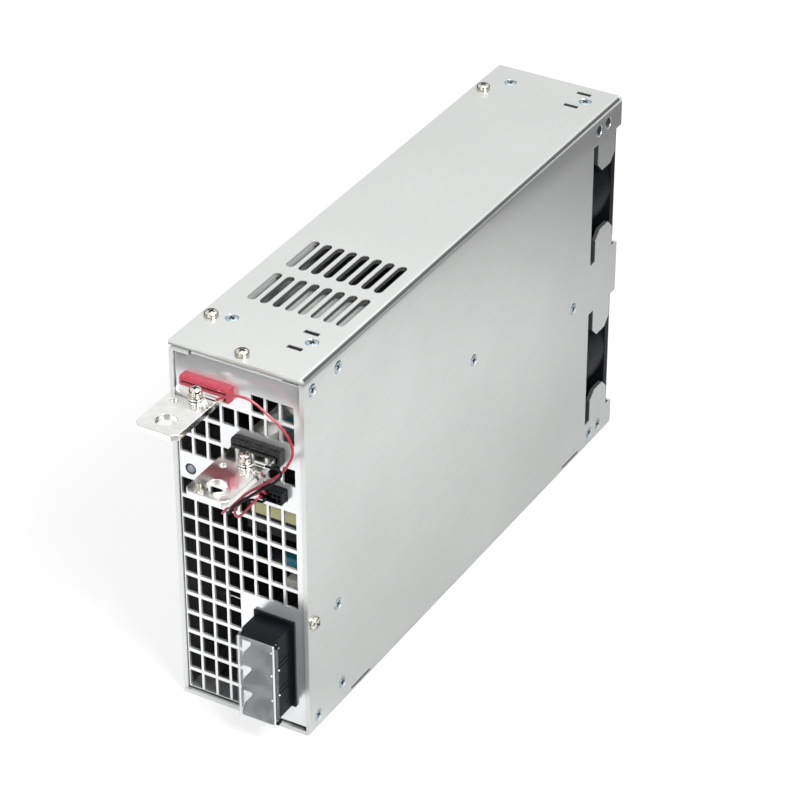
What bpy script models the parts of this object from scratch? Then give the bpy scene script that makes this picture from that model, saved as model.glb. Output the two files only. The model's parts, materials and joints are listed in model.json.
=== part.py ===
"""Enclosed switching power supply: a folded sheet-metal case that stands on its long narrow side.

Frame: metres, +Z up.  X = 0 and Y = 0 lie at the middle of the case, Z = 0 is the bottom sheet.
The terminals and the grille face -Y, the two fans blow in from +Y, the chassis wall is at +X.
"""
import math

import bmesh
import bpy
from mathutils import Matrix, Vector

MM = 0.001

# Driving sizes: the fans set the width, the case has its own length and height
FAN_SIZE = 60.0 * MM
CASE_LENGTH = 278.0 * MM
CASE_HEIGHT = 177.8 * MM

# Case
SHEET = 2.0 * MM
FAN_PINCH = 0.5 * MM
CASE_WIDTH = FAN_SIZE + 2 * SHEET - FAN_PINCH
BEND_RADIUS = 2.5 * MM
FIT_GAP = 0.3 * MM
COVER_FLANGE = 9.5 * MM

LEFT = -CASE_WIDTH / 2
RIGHT = CASE_WIDTH / 2
FRONT = -CASE_LENGTH / 2
REAR = CASE_LENGTH / 2
INNER_LEFT = LEFT + SHEET
INNER_RIGHT = RIGHT - SHEET
INNER_TOP = CASE_HEIGHT - SHEET

# Front panel and rear panel
PANEL_SHEET = 1.2 * MM
PANEL_BEND = 1.6 * MM
PANEL_RECESS = 1.0 * MM
PANEL_FLANGE = 12.0 * MM
FLANGE_LEFT = LEFT + 10.05 * MM
FLANGE_RIGHT = RIGHT - 10.45 * MM
CORNER_GAP = 1.4 * MM
REAR_RECESS = 0.2 * MM
REAR_FLANGE = 27.0 * MM
TAB_INSET = 0.1 * MM
CORNER_TAB = (4.2 * MM, 14.2 * MM)
MIDDLE_TAB = (50.5 * MM, 63.5 * MM)
TOP_CORNER_TAB = (CASE_HEIGHT - CORNER_TAB[1], CASE_HEIGHT - CORNER_TAB[0])
FRONT_TABS = (CORNER_TAB, MIDDLE_TAB, TOP_CORNER_TAB)
REAR_TABS = (CORNER_TAB, TOP_CORNER_TAB)

PANEL_FACE = FRONT + PANEL_RECESS
PANEL_BACK = PANEL_FACE + PANEL_SHEET
PANEL_LEFT = INNER_LEFT + FIT_GAP
PANEL_RIGHT = INNER_RIGHT - FIT_GAP
REAR_FACE = REAR - REAR_RECESS
REAR_INSIDE = REAR_FACE - PANEL_SHEET

# Grille of rectangular holes in the front panel, left out where another fitting takes the room
GRILLE_PITCH_X = 7.06 * MM
GRILLE_PITCH_Z = 10.0 * MM
GRILLE_HOLE_WIDTH = 5.9 * MM
GRILLE_HOLE_HEIGHT = 8.3 * MM
GRILLE_FROM_LEFT = 3.54 * MM
GRILLE_COLUMNS = int((PANEL_RIGHT - PANEL_LEFT - GRILLE_PITCH_X + GRILLE_HOLE_WIDTH) / GRILLE_PITCH_X)
LOWER_ROW_Z = 7.95 * MM
UPPER_ROW_DROP = 48.6 * MM
UPPER_ROWS = 4
HOLE_MARGIN = 2.1 * MM

# Vent slots in the top sheet
VENT_WIDTH = 4.0 * MM
VENT_LENGTH = 24.0 * MM
VENT_PITCH_X = 6.05 * MM
VENT_PITCH_Y = 30.1 * MM
VENT_COUNT = 8
VENT_ROWS = 2
VENT_CENTRE_X = 1.0 * MM
VENT_FROM_FRONT = 54.8 * MM

# Small lanced slots in the case
TOP_SLOT = (7.0 * MM, 2.3 * MM)
TOP_SLOT_X = RIGHT - 16.05 * MM
TOP_SLOTS_FROM_FRONT = (20.0 * MM, 33.0 * MM)
TOP_SLOTS_FROM_REAR = (6.8 * MM, 19.8 * MM)
SIDE_SLOT = (16.0 * MM, 1.2 * MM)
SIDE_SLOT_Z = 3.2 * MM
SIDE_SLOT_FROM_END = 41.7 * MM

# Fans and their cut-outs in both side walls
FAN_DEPTH = 25.0 * MM
FAN_FLANGE = 3.6 * MM
FAN_WALL = 1.4 * MM
FAN_BORE = FAN_SIZE / 2 - FAN_WALL
FAN_HOLE_SPACING = FAN_SIZE - 10.0 * MM
FAN_HOLE_RADIUS = 2.15 * MM
FAN_CORNER = 3.5 * MM
MOTOR_BASE_RADIUS = FAN_SIZE * 0.26
MOTOR_BASE_DEPTH = 3.0 * MM
STRUT_WIDTH = 3.2 * MM
STRUT_COUNT = 4
BEARING_RADIUS = 4.0 * MM
BEARING_LENGTH = 12.0 * MM
SHAFT_RADIUS = 1.5 * MM
SHAFT_GAP = 0.3 * MM
HUB_RADIUS = FAN_SIZE * 0.26
HUB_WALL = 1.6 * MM
HUB_DEPTH = 19.5 * MM
BLADE_TIP_GAP = 1.2 * MM
BLADE_COUNT = 7
BLADE_THICKNESS = 1.1 * MM
BLADE_RISE = 7.4 * MM
BLADE_SWEEP = math.radians(21.0)
CUTOUT_CLEARANCE = 0.8 * MM
CUTOUT_WEB = 0.5 * MM
TONGUE_WIDTH = 16.6 * MM
TONGUE_LENGTH = FAN_SIZE * 0.255
TONGUE_CHAMFER = 4.3 * MM
TONGUE_FROM_REAR = 5.7 * MM

FAN_BACK = REAR_INSIDE - FIT_GAP
FAN_FRONT = FAN_BACK - FAN_DEPTH
FAN_FROM_EDGE = FAN_SIZE * 0.75
FAN_SPREAD = max(CASE_HEIGHT / 2 - FAN_FROM_EDGE, FAN_SIZE / 2 + CUTOUT_CLEARANCE + CUTOUT_WEB)
FAN_HEIGHTS = {
    "upper": CASE_HEIGHT / 2 + FAN_SPREAD,
    "lower": CASE_HEIGHT / 2 - FAN_SPREAD,
}

# Finger guards
GUARD_WIRE = 0.85 * MM
GUARD_RINGS = (FAN_BORE * 0.332, FAN_BORE * 0.612, FAN_BORE * 0.892)
GUARD_LAP = 0.5 * MM
FAN_SCREW_HEAD = (3.2 * MM, 2.6 * MM)
FAN_SCREW_RADIUS = 1.85 * MM
FAN_SCREW_LENGTH = 10.0 * MM

# Case screws
COUNTERSINK_RADIUS = 3.0 * MM
COUNTERSINK_DEPTH = 1.6 * MM
SCREW_RADIUS = 1.35 * MM
SCREW_HOLE_RADIUS = 1.65 * MM
SCREW_LENGTH = 5.5 * MM
PAN_HEAD = (3.1 * MM, 2.2 * MM)
CROSS = (3.0 * MM, 0.65 * MM, 0.9 * MM)

# Bus bars and their insulators: each bar has its middle X, its top face and its reach from the case front
BAR_WIDTH = 20.3 * MM
BAR_THICKNESS = 3.0 * MM
BAR_INSIDE = 30.0 * MM
BAR_CHAMFER = 2.3 * MM
BAR_BOLT_RADIUS = 4.4 * MM
BAR_BOLT_FROM_END = 8.5 * MM
BAR_TAP_RADIUS = 1.6 * MM
BAR_TAP_SPREAD = 10.7 * MM
BAR_TAP_FROM_END = 22.0 * MM
BAR_SCREW_FROM_END = 27.3 * MM
BAR_SCREW_SHIFT = 1.6 * MM
INSULATOR_DEPTH = 4.3 * MM
INSULATOR_ABOVE = 2.4 * MM
INSULATOR_BELOW = 1.6 * MM
INSULATOR_SIDE = 1.4 * MM
INSULATOR_CHAMFER = 0.7 * MM
BARS = {
    "positive": (LEFT + 18.55 * MM, CASE_HEIGHT - 15.1 * MM, 39.0 * MM),
    "negative": (RIGHT - 21.25 * MM, CASE_HEIGHT - 37.5 * MM, 40.7 * MM),
}

# Sense screws, lugs and wires
SENSE_SCREW_RADIUS = 1.6 * MM
SENSE_HEAD = (2.75 * MM, 2.3 * MM)
WASHER = (3.1 * MM, 0.7 * MM)
SPRING_WASHER = (2.8 * MM, 0.8 * MM)
LUG_THICKNESS = 0.8 * MM
LUG_RING_RADIUS = 3.1 * MM
LUG_TONGUE = (5.6 * MM, 2.4 * MM)
LUG_BARREL = (1.15 * MM, 5.2 * MM)
LUG_LENGTH = 10.0 * MM
LUG_CRANK = 1.6 * MM
WIRE_RADIUS = 0.55 * MM
WIRE_STEP = 2.4 * MM

# Wire routes in millimetres: inset from the right edge, distance ahead of the case front, drop below the top.
# The rise of the positive wire has, in place of the inset, its share of the way out to the widest point.
WIDEST_INSET = 1.75
POSITIVE_RISE = (
    (0.067, 11.4, 11.1), (0.166, 11.0, 9.3), (0.323, 10.4, 8.3), (0.470, 9.2, 9.7), (0.639, 7.9, 14.0),
    (0.812, 6.8, 18.8), (0.930, 6.1, 23.5), (0.984, 5.9, 27.4), (1.0, 6.2, 31.4),
)
POSITIVE_FALL = (
    (2.65, 7.4, 35.0), (4.85, 9.0, 39.0), (9.25, 10.3, 43.6), (15.35, 10.9, 48.7), (21.65, 11.2, 54.5),
    (27.35, 11.3, 60.5), (31.15, 11.2, 65.0), (33.05, 10.7, 67.5), (33.95, 9.6, 68.6), (34.25, 8.2, 68.9),
    (32.25, 7.0, 66.6), (28.95, 6.4, 62.9), (23.35, 6.1, 56.9), (19.55, 5.8, 54.2), (17.15, 5.0, 54.8),
)
NEGATIVE_ROUTE = (
    (7.85, 13.4, 35.3), (5.55, 13.3, 35.1), (3.75, 12.9, 36.0), (3.45, 12.4, 38.0), (4.95, 12.2, 40.6),
    (8.25, 12.2, 44.5), (13.75, 12.3, 49.0), (20.05, 12.5, 54.8), (25.85, 12.4, 60.6), (28.4, 12.1, 63.7),
    (29.7, 11.2, 65.9), (30.2, 9.8, 67.2), (30.35, 8.2, 67.2), (29.15, 6.8, 65.8), (26.95, 5.5, 63.2),
    (22.35, 4.9, 60.9), (19.15, 4.7, 60.6), (17.15, 4.5, 60.1),
)
LINK_ROUTE = (
    (18.85, 4.6, 56.6), (19.05, 5.8, 56.1), (20.15, 7.4, 56.3), (21.55, 8.3, 57.2), (24.25, 8.5, 59.1),
    (27.25, 8.6, 62.6), (28.55, 8.6, 66.3), (27.85, 8.4, 68.9), (25.95, 8.2, 67.8), (23.55, 8.1, 64.8),
    (20.95, 7.6, 61.0), (19.55, 6.2, 59.1), (18.95, 4.6, 58.6),
)

# Signal connector, status lamp
PLUG_COLUMNS = 5
PLUG_ROWS = 2
PLUG_PITCH = 2.0 * MM
PLUG_WALL = 1.0 * MM
PLUG_CAVITY = 1.4 * MM
PLUG_CAVITY_DEPTH = 2.5 * MM
PLUG_REACH = 4.0 * MM
PLUG_DEPTH = 12.0 * MM
PLUG_CENTRE = (RIGHT - 14.85 * MM, CASE_HEIGHT - 57.85 * MM)
LAMP_CENTRE = (LEFT + 7.65 * MM, CASE_HEIGHT - 60.6 * MM)
LAMP_RADIUS = 2.35 * MM
LAMP_COLLAR = (3.1 * MM, 1.0 * MM)
LAMP_REACH = 0.8 * MM

# Mains terminal block with its hinged clear cover
BLOCK_WIDTH = 17.3 * MM
BLOCK_CENTRE = (RIGHT - 17.3 * MM, 34.1 * MM)
BLOCK_DEPTH = 16.1 * MM
BLOCK_SLANT = (2.3 * MM, 5.6 * MM)
BLOCK_WALL = 1.5 * MM
BLOCK_BACK = 5.0 * MM
POLE_PITCH = 13.2 * MM
POLE_COUNT = 3
BLOCK_FLANGE = (19.7 * MM, 43.9 * MM, 1.0 * MM)
FLANGE_SHIFT = (0.7 * MM, 1.25 * MM)
GROOVE = (0.5 * MM, 0.4 * MM)
CONTACT = (10.5 * MM, 9.0 * MM, 1.0 * MM)
MAINS_HEAD = (3.6 * MM, 2.6 * MM)
MAINS_SCREW_RADIUS = 1.9 * MM
MAINS_SCREW_LENGTH = 3.8 * MM
COVER_SHEET = 1.2 * MM
COVER_GAP = 0.35 * MM
COVER_RIM_BACK = 0.5 * MM
COVER_MARGIN = 0.7 * MM
HINGE_OUT = 1.0 * MM
HINGE_BACK = 2.2 * MM
HINGE_EAR = (1.2 * MM, 1.4 * MM)
HINGE_PIN_RADIUS = 0.5 * MM
HINGE_HOLE_RADIUS = 0.8 * MM
HINGE_EAR_HEIGHT = 1.5 * MM

# Circuit board along the chassis wall; INSIDE_DEPTH is the room between it and the side cover
BOARD_THICKNESS = 1.6 * MM
BOARD_STANDOFF = 4.0 * MM
BOARD_MARGIN = 8.0 * MM
BOARD_FROM_FAN = 8.3 * MM
BOARD_FACE = INNER_RIGHT - BOARD_STANDOFF - BOARD_THICKNESS
BOARD_REAR = FAN_FRONT - BOARD_FROM_FAN
INSIDE_DEPTH = BOARD_FACE - INNER_LEFT
POST_RADIUS = 3.2 * MM

# What stands on the board
HEATSINK_FINS = 7
HEATSINK_FIN = 1.6 * MM
HEATSINK_PITCH = 6.4 * MM
HEATSINK_BASE = 3.0 * MM
HEATSINK_REACH = INSIDE_DEPTH * 0.705
HEATSINK_DROP = 59.8 * MM
HEATSINK_FROM_FRONT = 60.0 * MM
HEATSINK_FROM_FAN = 20.3 * MM
HEATSINK_Z = CASE_HEIGHT - HEATSINK_DROP
HEATSINK_Y = (FRONT + HEATSINK_FROM_FRONT, FAN_FRONT - HEATSINK_FROM_FAN)
BOOST_CHOKE = (21.0 * MM, 9.0 * MM, 20.0 * MM)
BOOST_CHOKE_PLACE = (BOARD_REAR - BOOST_CHOKE[0] * 2, 34.0 * MM)
FILTER_CHOKE = (15.0 * MM, 6.0 * MM, 22.0 * MM)
FILTER_CHOKE_BEHIND = 61.0 * MM
FILTER_CHOKE_PLACE = (FRONT + FILTER_CHOKE_BEHIND, 36.0 * MM)
CAPACITOR_RADIUS = 15.0 * MM
CAPACITOR_LENGTH = INSIDE_DEPTH * 0.816
CAPACITOR_CREASE = 1.0 * MM
CAPACITOR_CRIMP = 4.0 * MM
CAPACITOR_SPACING = 4.0 * MM
CAPACITOR_Z = (BOOST_CHOKE_PLACE[1] + BOOST_CHOKE[0] + HEATSINK_Z) / 2
REAR_CAPACITOR_Y = BOOST_CHOKE_PLACE[0] - BOOST_CHOKE[0] - CAPACITOR_RADIUS
FRONT_CAPACITOR_Y = REAR_CAPACITOR_Y - 2 * CAPACITOR_RADIUS - CAPACITOR_SPACING
TRANSFORMER_Y = (FRONT + 14.5 * MM, FRONT + 46.0 * MM)
TRANSFORMER_Z = (CASE_HEIGHT - 93.8 * MM, CASE_HEIGHT - 66.8 * MM)
WINDOW_Z = (CASE_HEIGHT - 83.8 * MM, CASE_HEIGHT - 76.3 * MM)
WINDING_OVERHANG = 3.0 * MM
CORE_LEG = 3.6 * MM
CORE_WIDTH = 31.85 * MM

# Spreader plate under the top sheet, with a step in its left edge
OUTPUT_PLATE = 3.0 * MM
OUTPUT_PLATE_DROP = 2.6 * MM
PLATE_LIP = 5.0 * MM
PLATE_Y = (FRONT + 15.5 * MM, FRONT + 39.0 * MM, FRONT + 76.3 * MM)
PLATE_X = (LEFT + 9.75 * MM, LEFT + 21.25 * MM)

# Sides given to round forms
FEW_SIDES = 8
SOME_SIDES = 10
MANY_SIDES = 16
FAN_SIDES = 24


def clear_scene():
    for old in list(bpy.data.objects):
        bpy.data.objects.remove(old, do_unlink=True)


def look(name, colour, roughness, metallic=0.0, alpha=1.0):
    """A Principled material in one plain finish."""
    made = bpy.data.materials.new(name)
    made.use_nodes = True
    shader = made.node_tree.nodes["Principled BSDF"]
    shader.inputs["Base Color"].default_value = (*colour, 1.0)
    shader.inputs["Roughness"].default_value = roughness
    shader.inputs["Metallic"].default_value = metallic
    shader.inputs["Alpha"].default_value = alpha
    made.diffuse_color = (*colour, alpha)
    return made


def place(mesh_owner, location=(0, 0, 0), rotation=None):
    mesh_owner.location = location
    if rotation is not None:
        mesh_owner.rotation_euler = rotation.to_euler()
    return mesh_owner


def solid(name, shape, finish, smooth=False):
    """Turn a closed bmesh into a named object with outward faces."""
    bmesh.ops.recalc_face_normals(shape, faces=shape.faces)
    mesh = bpy.data.meshes.new(name)
    shape.to_mesh(mesh)
    shape.free()
    if smooth:
        mesh.shade_smooth()
        mesh.set_sharp_from_angle(angle=math.radians(35.0))
    mesh.materials.append(finish)
    made = bpy.data.objects.new(name, mesh)
    bpy.context.scene.collection.objects.link(made)
    return made


def tool(target, shape, operation, name):
    """Cut or join a hidden shape with a Boolean modifier."""
    bmesh.ops.recalc_face_normals(shape, faces=shape.faces)
    mesh = bpy.data.meshes.new(name)
    shape.to_mesh(mesh)
    shape.free()
    hidden = bpy.data.objects.new(name, mesh)
    bpy.context.scene.collection.objects.link(hidden)
    hidden.hide_render = True
    hidden.display_type = "WIRE"
    hidden.parent = target
    step = target.modifiers.new(name, "BOOLEAN")
    step.operation = operation
    step.solver = "EXACT"
    step.object = hidden
    return hidden


def cut(target, shape, name):
    return tool(target, shape, "DIFFERENCE", f"{target.name}_{name}_cutter")


def weld(target, shape, name):
    return tool(target, shape, "UNION", f"{target.name}_{name}_addition")


def on_axis(axis, first, second, along):
    """Put plane coordinates and a height along an axis into X, Y, Z order."""
    if axis == "X":
        return (along, first, second)
    if axis == "Y":
        return (first, along, second)
    return (first, second, along)


def add_prism(shape, outline, axis, low, high):
    """Extrude a flat outline between two heights along an axis."""
    bottom = [shape.verts.new(on_axis(axis, a, b, low)) for a, b in outline]
    top = [shape.verts.new(on_axis(axis, a, b, high)) for a, b in outline]
    count = len(outline)
    for index in range(count):
        after = (index + 1) % count
        shape.faces.new((bottom[index], bottom[after], top[after], top[index]))
    shape.faces.new(top)
    shape.faces.new(bottom[::-1])


def prism(outline, axis, low, high):
    shape = bmesh.new()
    add_prism(shape, outline, axis, low, high)
    return shape


def add_box(shape, x_range, y_range, z_range):
    outline = rectangle(x_range[0], x_range[1], y_range[0], y_range[1])
    add_prism(shape, outline, "Z", z_range[0], z_range[1])


def box(x_range, y_range, z_range):
    shape = bmesh.new()
    add_box(shape, x_range, y_range, z_range)
    return shape


def rectangle(low_a, high_a, low_b, high_b):
    return [(low_a, low_b), (high_a, low_b), (high_a, high_b), (low_a, high_b)]


def centred(middle, size):
    return (middle - size / 2, middle + size / 2)


def circle(centre, radius, steps):
    turns = [2 * math.pi * step / steps for step in range(steps)]
    return [(centre[0] + radius * math.cos(t), centre[1] + radius * math.sin(t)) for t in turns]


def rounded_rectangle(low_a, high_a, low_b, high_b, radius, steps=4):
    corners = (
        (high_a - radius, high_b - radius, 0),
        (low_a + radius, high_b - radius, 1),
        (low_a + radius, low_b + radius, 2),
        (high_a - radius, low_b + radius, 3),
    )
    outline = []
    for a, b, quarter in corners:
        for step in range(steps + 1):
            turn = (quarter + step / steps) * math.pi / 2
            outline.append((a + radius * math.cos(turn), b + radius * math.sin(turn)))
    return outline


def chamfered_rectangle(low_a, high_a, low_b, high_b, chamfers):
    """Rectangle with its corners cut; chamfers go round from the low, low corner."""
    first, second, third, fourth = chamfers
    outline = [
        (low_a, low_b + first),
        (low_a + first, low_b),
        (high_a - second, low_b),
        (high_a, low_b + second),
        (high_a, high_b - third),
        (high_a - third, high_b),
        (low_a + fourth, high_b),
        (low_a, high_b - fourth),
    ]
    kept = []
    for point in outline:
        if point not in kept:
            kept.append(point)
    return kept


def folded_sheet(corners, thickness, radius, steps=5):
    """Section of a folded sheet: an outer line with square bends, and its inner offset."""
    points = [Vector(corner) for corner in corners]
    inward = (points[2] - points[1]).normalized()
    outer = [points[0]]
    inner = [points[0] + inward * thickness]
    for index in range(1, len(points) - 1):
        came = (points[index] - points[index - 1]).normalized()
        leaves = (points[index + 1] - points[index]).normalized()
        centre = points[index] + (leaves - came) * radius
        for step in range(steps + 1):
            turn = step / steps * math.pi / 2
            ray = came * math.sin(turn) - leaves * math.cos(turn)
            outer.append(centre + ray * radius)
            inner.append(centre + ray * (radius - thickness))
        inward = -came
    outer.append(points[-1])
    inner.append(points[-1] + inward * thickness)
    return [tuple(point) for point in outer + inner[::-1]]


def add_turned(shape, profile, axis, centre, steps):
    """Revolve (radius, height) points about an axis through a centre in the other two coordinates."""
    rings = []
    for radius, height in profile:
        if radius < 1e-9:
            rings.append([shape.verts.new(on_axis(axis, centre[0], centre[1], height))])
            continue
        ring = circle(centre, radius, steps)
        rings.append([shape.verts.new(on_axis(axis, a, b, height)) for a, b in ring])
    pairs = list(zip(rings[:-1], rings[1:]))
    if profile[0][0] > 1e-9:
        pairs.append((rings[-1], rings[0]))
    for low, high in pairs:
        for step in range(steps):
            after = (step + 1) % steps
            if len(low) == 1:
                shape.faces.new((low[0], high[step], high[after]))
            elif len(high) == 1:
                shape.faces.new((low[step], low[after], high[0]))
            else:
                shape.faces.new((low[step], low[after], high[after], high[step]))


def turned(profile, axis, centre, steps):
    shape = bmesh.new()
    add_turned(shape, profile, axis, centre, steps)
    return shape


def add_rod(shape, start, end, radius, steps=6):
    """A straight round bar between two points."""
    start, end = Vector(start), Vector(end)
    turn = (end - start).to_track_quat("Z", "Y")
    rings = []
    for point in (start, end):
        ring = [turn @ Vector((a, b, 0)) + point for a, b in circle((0, 0), radius, steps)]
        rings.append([shape.verts.new(vertex) for vertex in ring])
    for step in range(steps):
        after = (step + 1) % steps
        shape.faces.new((rings[0][step], rings[0][after], rings[1][after], rings[1][step]))
    shape.faces.new(rings[0][::-1])
    shape.faces.new(rings[1])


def add_ring(shape, centre, radius, wire, around=16, section=4):
    """A wire ring in an XZ plane."""
    loops = []
    for step in range(around):
        turn = 2 * math.pi * step / around
        loop = []
        for part in range(section):
            lean = 2 * math.pi * part / section
            reach = radius + wire * math.cos(lean)
            place_x = centre[0] + reach * math.cos(turn)
            place_z = centre[2] + reach * math.sin(turn)
            loop.append(shape.verts.new((place_x, centre[1] + wire * math.sin(lean), place_z)))
        loops.append(loop)
    for step in range(around):
        near, far = loops[step], loops[(step + 1) % around]
        for part in range(section):
            after = (part + 1) % section
            shape.faces.new((near[part], near[after], far[after], far[part]))


def facing(direction):
    """Rotation that turns a piece built along +Z to face a direction."""
    return Vector(direction).to_track_quat("Z", "Y").to_matrix()


TOP_SCREWS = {
    "top_front_screw_left": (LEFT + 13.25 * MM, FRONT + 27.0 * MM),
    "top_front_screw_right": (RIGHT - 12.25 * MM, FRONT + 27.0 * MM),
    "top_rear_screw_left": (LEFT + 12.75 * MM, REAR - 13.0 * MM),
    "top_rear_screw_right": (RIGHT - 12.25 * MM, REAR - 13.0 * MM),
}
TOP_PAN_SCREWS = {
    "cover_screw_front": (LEFT + 4.9 * MM, FRONT + 24.5 * MM),
    "cover_screw_rear": (LEFT + 4.9 * MM, REAR - 24.5 * MM),
    "panel_screw_top": (0.0, FRONT + 5.5 * MM),
}
EDGE_INSET = 7.6 * MM
SIDE_SCREWS = {
    "side_screw_front_top": (FRONT + 6.8 * MM, CASE_HEIGHT - EDGE_INSET),
    "side_screw_plate_top": (FRONT + 26.6 * MM, CASE_HEIGHT - EDGE_INSET),
    "side_screw_rear_top_a": (REAR - 22.5 * MM, CASE_HEIGHT - EDGE_INSET),
    "side_screw_rear_top_b": (REAR - 13.5 * MM, CASE_HEIGHT - EDGE_INSET),
    "side_screw_front_bottom": (FRONT + 6.8 * MM, EDGE_INSET),
    "side_screw_rear_bottom_a": (REAR - 22.5 * MM, EDGE_INSET),
    "side_screw_rear_bottom_b": (REAR - 13.5 * MM, EDGE_INSET),
}
BOARD_SCREWS = {
    "board_screw_upper": (BOARD_REAR - 103.0 * MM, CASE_HEIGHT - 66.3 * MM),
    "board_screw_rear": (BOARD_REAR - 8.0 * MM, CASE_HEIGHT - 90.3 * MM),
    "board_screw_front": (FRONT + 24.0 * MM, 54.5 * MM),
    "board_screw_bottom": (FRONT + 26.6 * MM, BOARD_MARGIN + 3.5 * MM),
}
SIDE_PAN_SCREWS = {"side_panel_screw": (FRONT + 4.6 * MM, sum(MIDDLE_TAB) / 2)}


def countersink():
    """Profile of a countersunk hole, height 0 at the sheet's outer face."""
    return [
        (0.0, -SHEET * 1.5),
        (SCREW_HOLE_RADIUS, -SHEET * 1.5),
        (SCREW_HOLE_RADIUS, -COUNTERSINK_DEPTH),
        (COUNTERSINK_RADIUS, 0.0),
        (COUNTERSINK_RADIUS, SHEET),
        (0.0, SHEET),
    ]


def plain_hole():
    return [
        (0.0, -SHEET * 1.5),
        (SCREW_HOLE_RADIUS, -SHEET * 1.5),
        (SCREW_HOLE_RADIUS, SHEET),
        (0.0, SHEET),
    ]


def lifted(profile, height):
    return [(radius, height + rise) for radius, rise in profile]


def fan_cutout(height):
    """Outline in Y and Z of one fan opening, with two tongues that reach over the fan."""
    half = FAN_SIZE / 2 + CUTOUT_CLEARANCE
    start = FAN_FRONT - FIT_GAP
    tongue_back = REAR - TONGUE_FROM_REAR
    tongue_front = tongue_back - TONGUE_WIDTH
    past = REAR + SHEET
    tip = half - TONGUE_LENGTH
    shoulder = tip + TONGUE_CHAMFER
    upper = [
        (start, half),
        (tongue_front, half),
        (tongue_front, shoulder),
        (tongue_front + TONGUE_CHAMFER, tip),
        (tongue_back - TONGUE_CHAMFER, tip),
        (tongue_back, shoulder),
        (tongue_back, half),
        (past, half),
    ]
    lower = [(y, -z) for y, z in upper[::-1]]
    return [(y, z + height) for y, z in upper + lower]


def chassis_shell(finish):
    """Top, right and bottom walls folded from one sheet."""
    section = folded_sheet(
        [(LEFT, CASE_HEIGHT), (RIGHT, CASE_HEIGHT), (RIGHT, 0.0), (LEFT, 0.0)], SHEET, BEND_RADIUS
    )
    made = solid("chassis_shell", prism(section, "Y", FRONT, REAR), finish)
    openings = bmesh.new()
    through_top = (INNER_TOP - SHEET, CASE_HEIGHT + SHEET)
    for row in range(VENT_ROWS):
        middle_y = FRONT + VENT_FROM_FRONT + row * VENT_PITCH_Y
        for column in range(VENT_COUNT):
            middle_x = VENT_CENTRE_X + (column - (VENT_COUNT - 1) / 2) * VENT_PITCH_X
            slot = rounded_rectangle(
                *centred(middle_x, VENT_WIDTH), *centred(middle_y, VENT_LENGTH), VENT_WIDTH * 0.4999, steps=2
            )
            add_prism(openings, slot, "Z", *through_top)
    slot_places = [FRONT + inset for inset in TOP_SLOTS_FROM_FRONT]
    slot_places += [REAR - inset for inset in TOP_SLOTS_FROM_REAR]
    for middle_y in slot_places:
        add_box(openings, centred(TOP_SLOT_X, TOP_SLOT[0]), centred(middle_y, TOP_SLOT[1]), through_top)
    through_side = (INNER_RIGHT - SHEET, RIGHT + SHEET)
    for middle_y in (FRONT + SIDE_SLOT_FROM_END, REAR - SIDE_SLOT_FROM_END):
        add_box(openings, through_side, centred(middle_y, SIDE_SLOT[0]), centred(SIDE_SLOT_Z, SIDE_SLOT[1]))
    for height in FAN_HEIGHTS.values():
        add_prism(openings, fan_cutout(height), "X", *through_side)
    for place_xy in TOP_SCREWS.values():
        add_turned(openings, lifted(countersink(), CASE_HEIGHT), "Z", place_xy, SOME_SIDES)
    for place_xy in TOP_PAN_SCREWS.values():
        add_turned(openings, lifted(plain_hole(), CASE_HEIGHT), "Z", place_xy, FEW_SIDES)
    for place_yz in (*SIDE_SCREWS.values(), *BOARD_SCREWS.values()):
        add_turned(openings, lifted(countersink(), RIGHT), "X", place_yz, SOME_SIDES)
    for place_yz in SIDE_PAN_SCREWS.values():
        add_turned(openings, lifted(plain_hole(), RIGHT), "X", place_yz, FEW_SIDES)
    cut(made, openings, "openings")
    return made


def side_cover(finish):
    """Left wall with two flanges tucked under the top sheet and over the bottom sheet."""
    high = INNER_TOP - FIT_GAP
    low = SHEET + FIT_GAP
    reach = LEFT + COVER_FLANGE
    section = folded_sheet([(reach, high), (LEFT, high), (LEFT, low), (reach, low)], SHEET, BEND_RADIUS)
    made = solid("side_cover", prism(section, "Y", FRONT, REAR), finish)
    openings = bmesh.new()
    for height in FAN_HEIGHTS.values():
        add_prism(openings, fan_cutout(height), "X", LEFT - SHEET, INNER_LEFT + SHEET)
    for name in ("cover_screw_front", "cover_screw_rear"):
        hole = [(0.0, high - SHEET * 2), (SCREW_HOLE_RADIUS, high - SHEET * 2)]
        hole += [(SCREW_HOLE_RADIUS, high + SHEET), (0.0, high + SHEET)]
        add_turned(openings, hole, "Z", TOP_PAN_SCREWS[name], FEW_SIDES)
    cut(made, openings, "openings")
    trims = bmesh.new()
    behind_panel = PANEL_FACE + PANEL_FLANGE + FIT_GAP
    add_box(trims, (INNER_LEFT, reach + SHEET), (FRONT - SHEET, behind_panel), (0.0, low + BEND_RADIUS))
    for z_range in ((0.0, low + BEND_RADIUS), (high - BEND_RADIUS, CASE_HEIGHT)):
        add_box(trims, (PANEL_LEFT - FIT_GAP, reach + SHEET), (REAR - PANEL_SHEET * 2, REAR + SHEET), z_range)
    cut(made, trims, "trims")
    return made


def fittings():
    """Boxes in X and Z that the grille's holes stay clear of."""
    taken = []
    for x, top, _ in BARS.values():
        wide = BAR_WIDTH + 2 * INSULATOR_SIDE
        taken.append((*centred(x, wide), top - BAR_THICKNESS - INSULATOR_BELOW, top + INSULATOR_ABOVE))
    wide, high = plug_size()
    taken.append((*centred(PLUG_CENTRE[0], wide), *centred(PLUG_CENTRE[1], high)))
    taken.append((*centred(LAMP_CENTRE[0], 2 * LAMP_RADIUS), *centred(LAMP_CENTRE[1], 2 * LAMP_RADIUS)))
    wide, high, _ = BLOCK_FLANGE
    taken.append((*centred(BLOCK_CENTRE[0] + FLANGE_SHIFT[0], wide),
                  *centred(BLOCK_CENTRE[1] + FLANGE_SHIFT[1], high)))
    return taken


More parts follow.
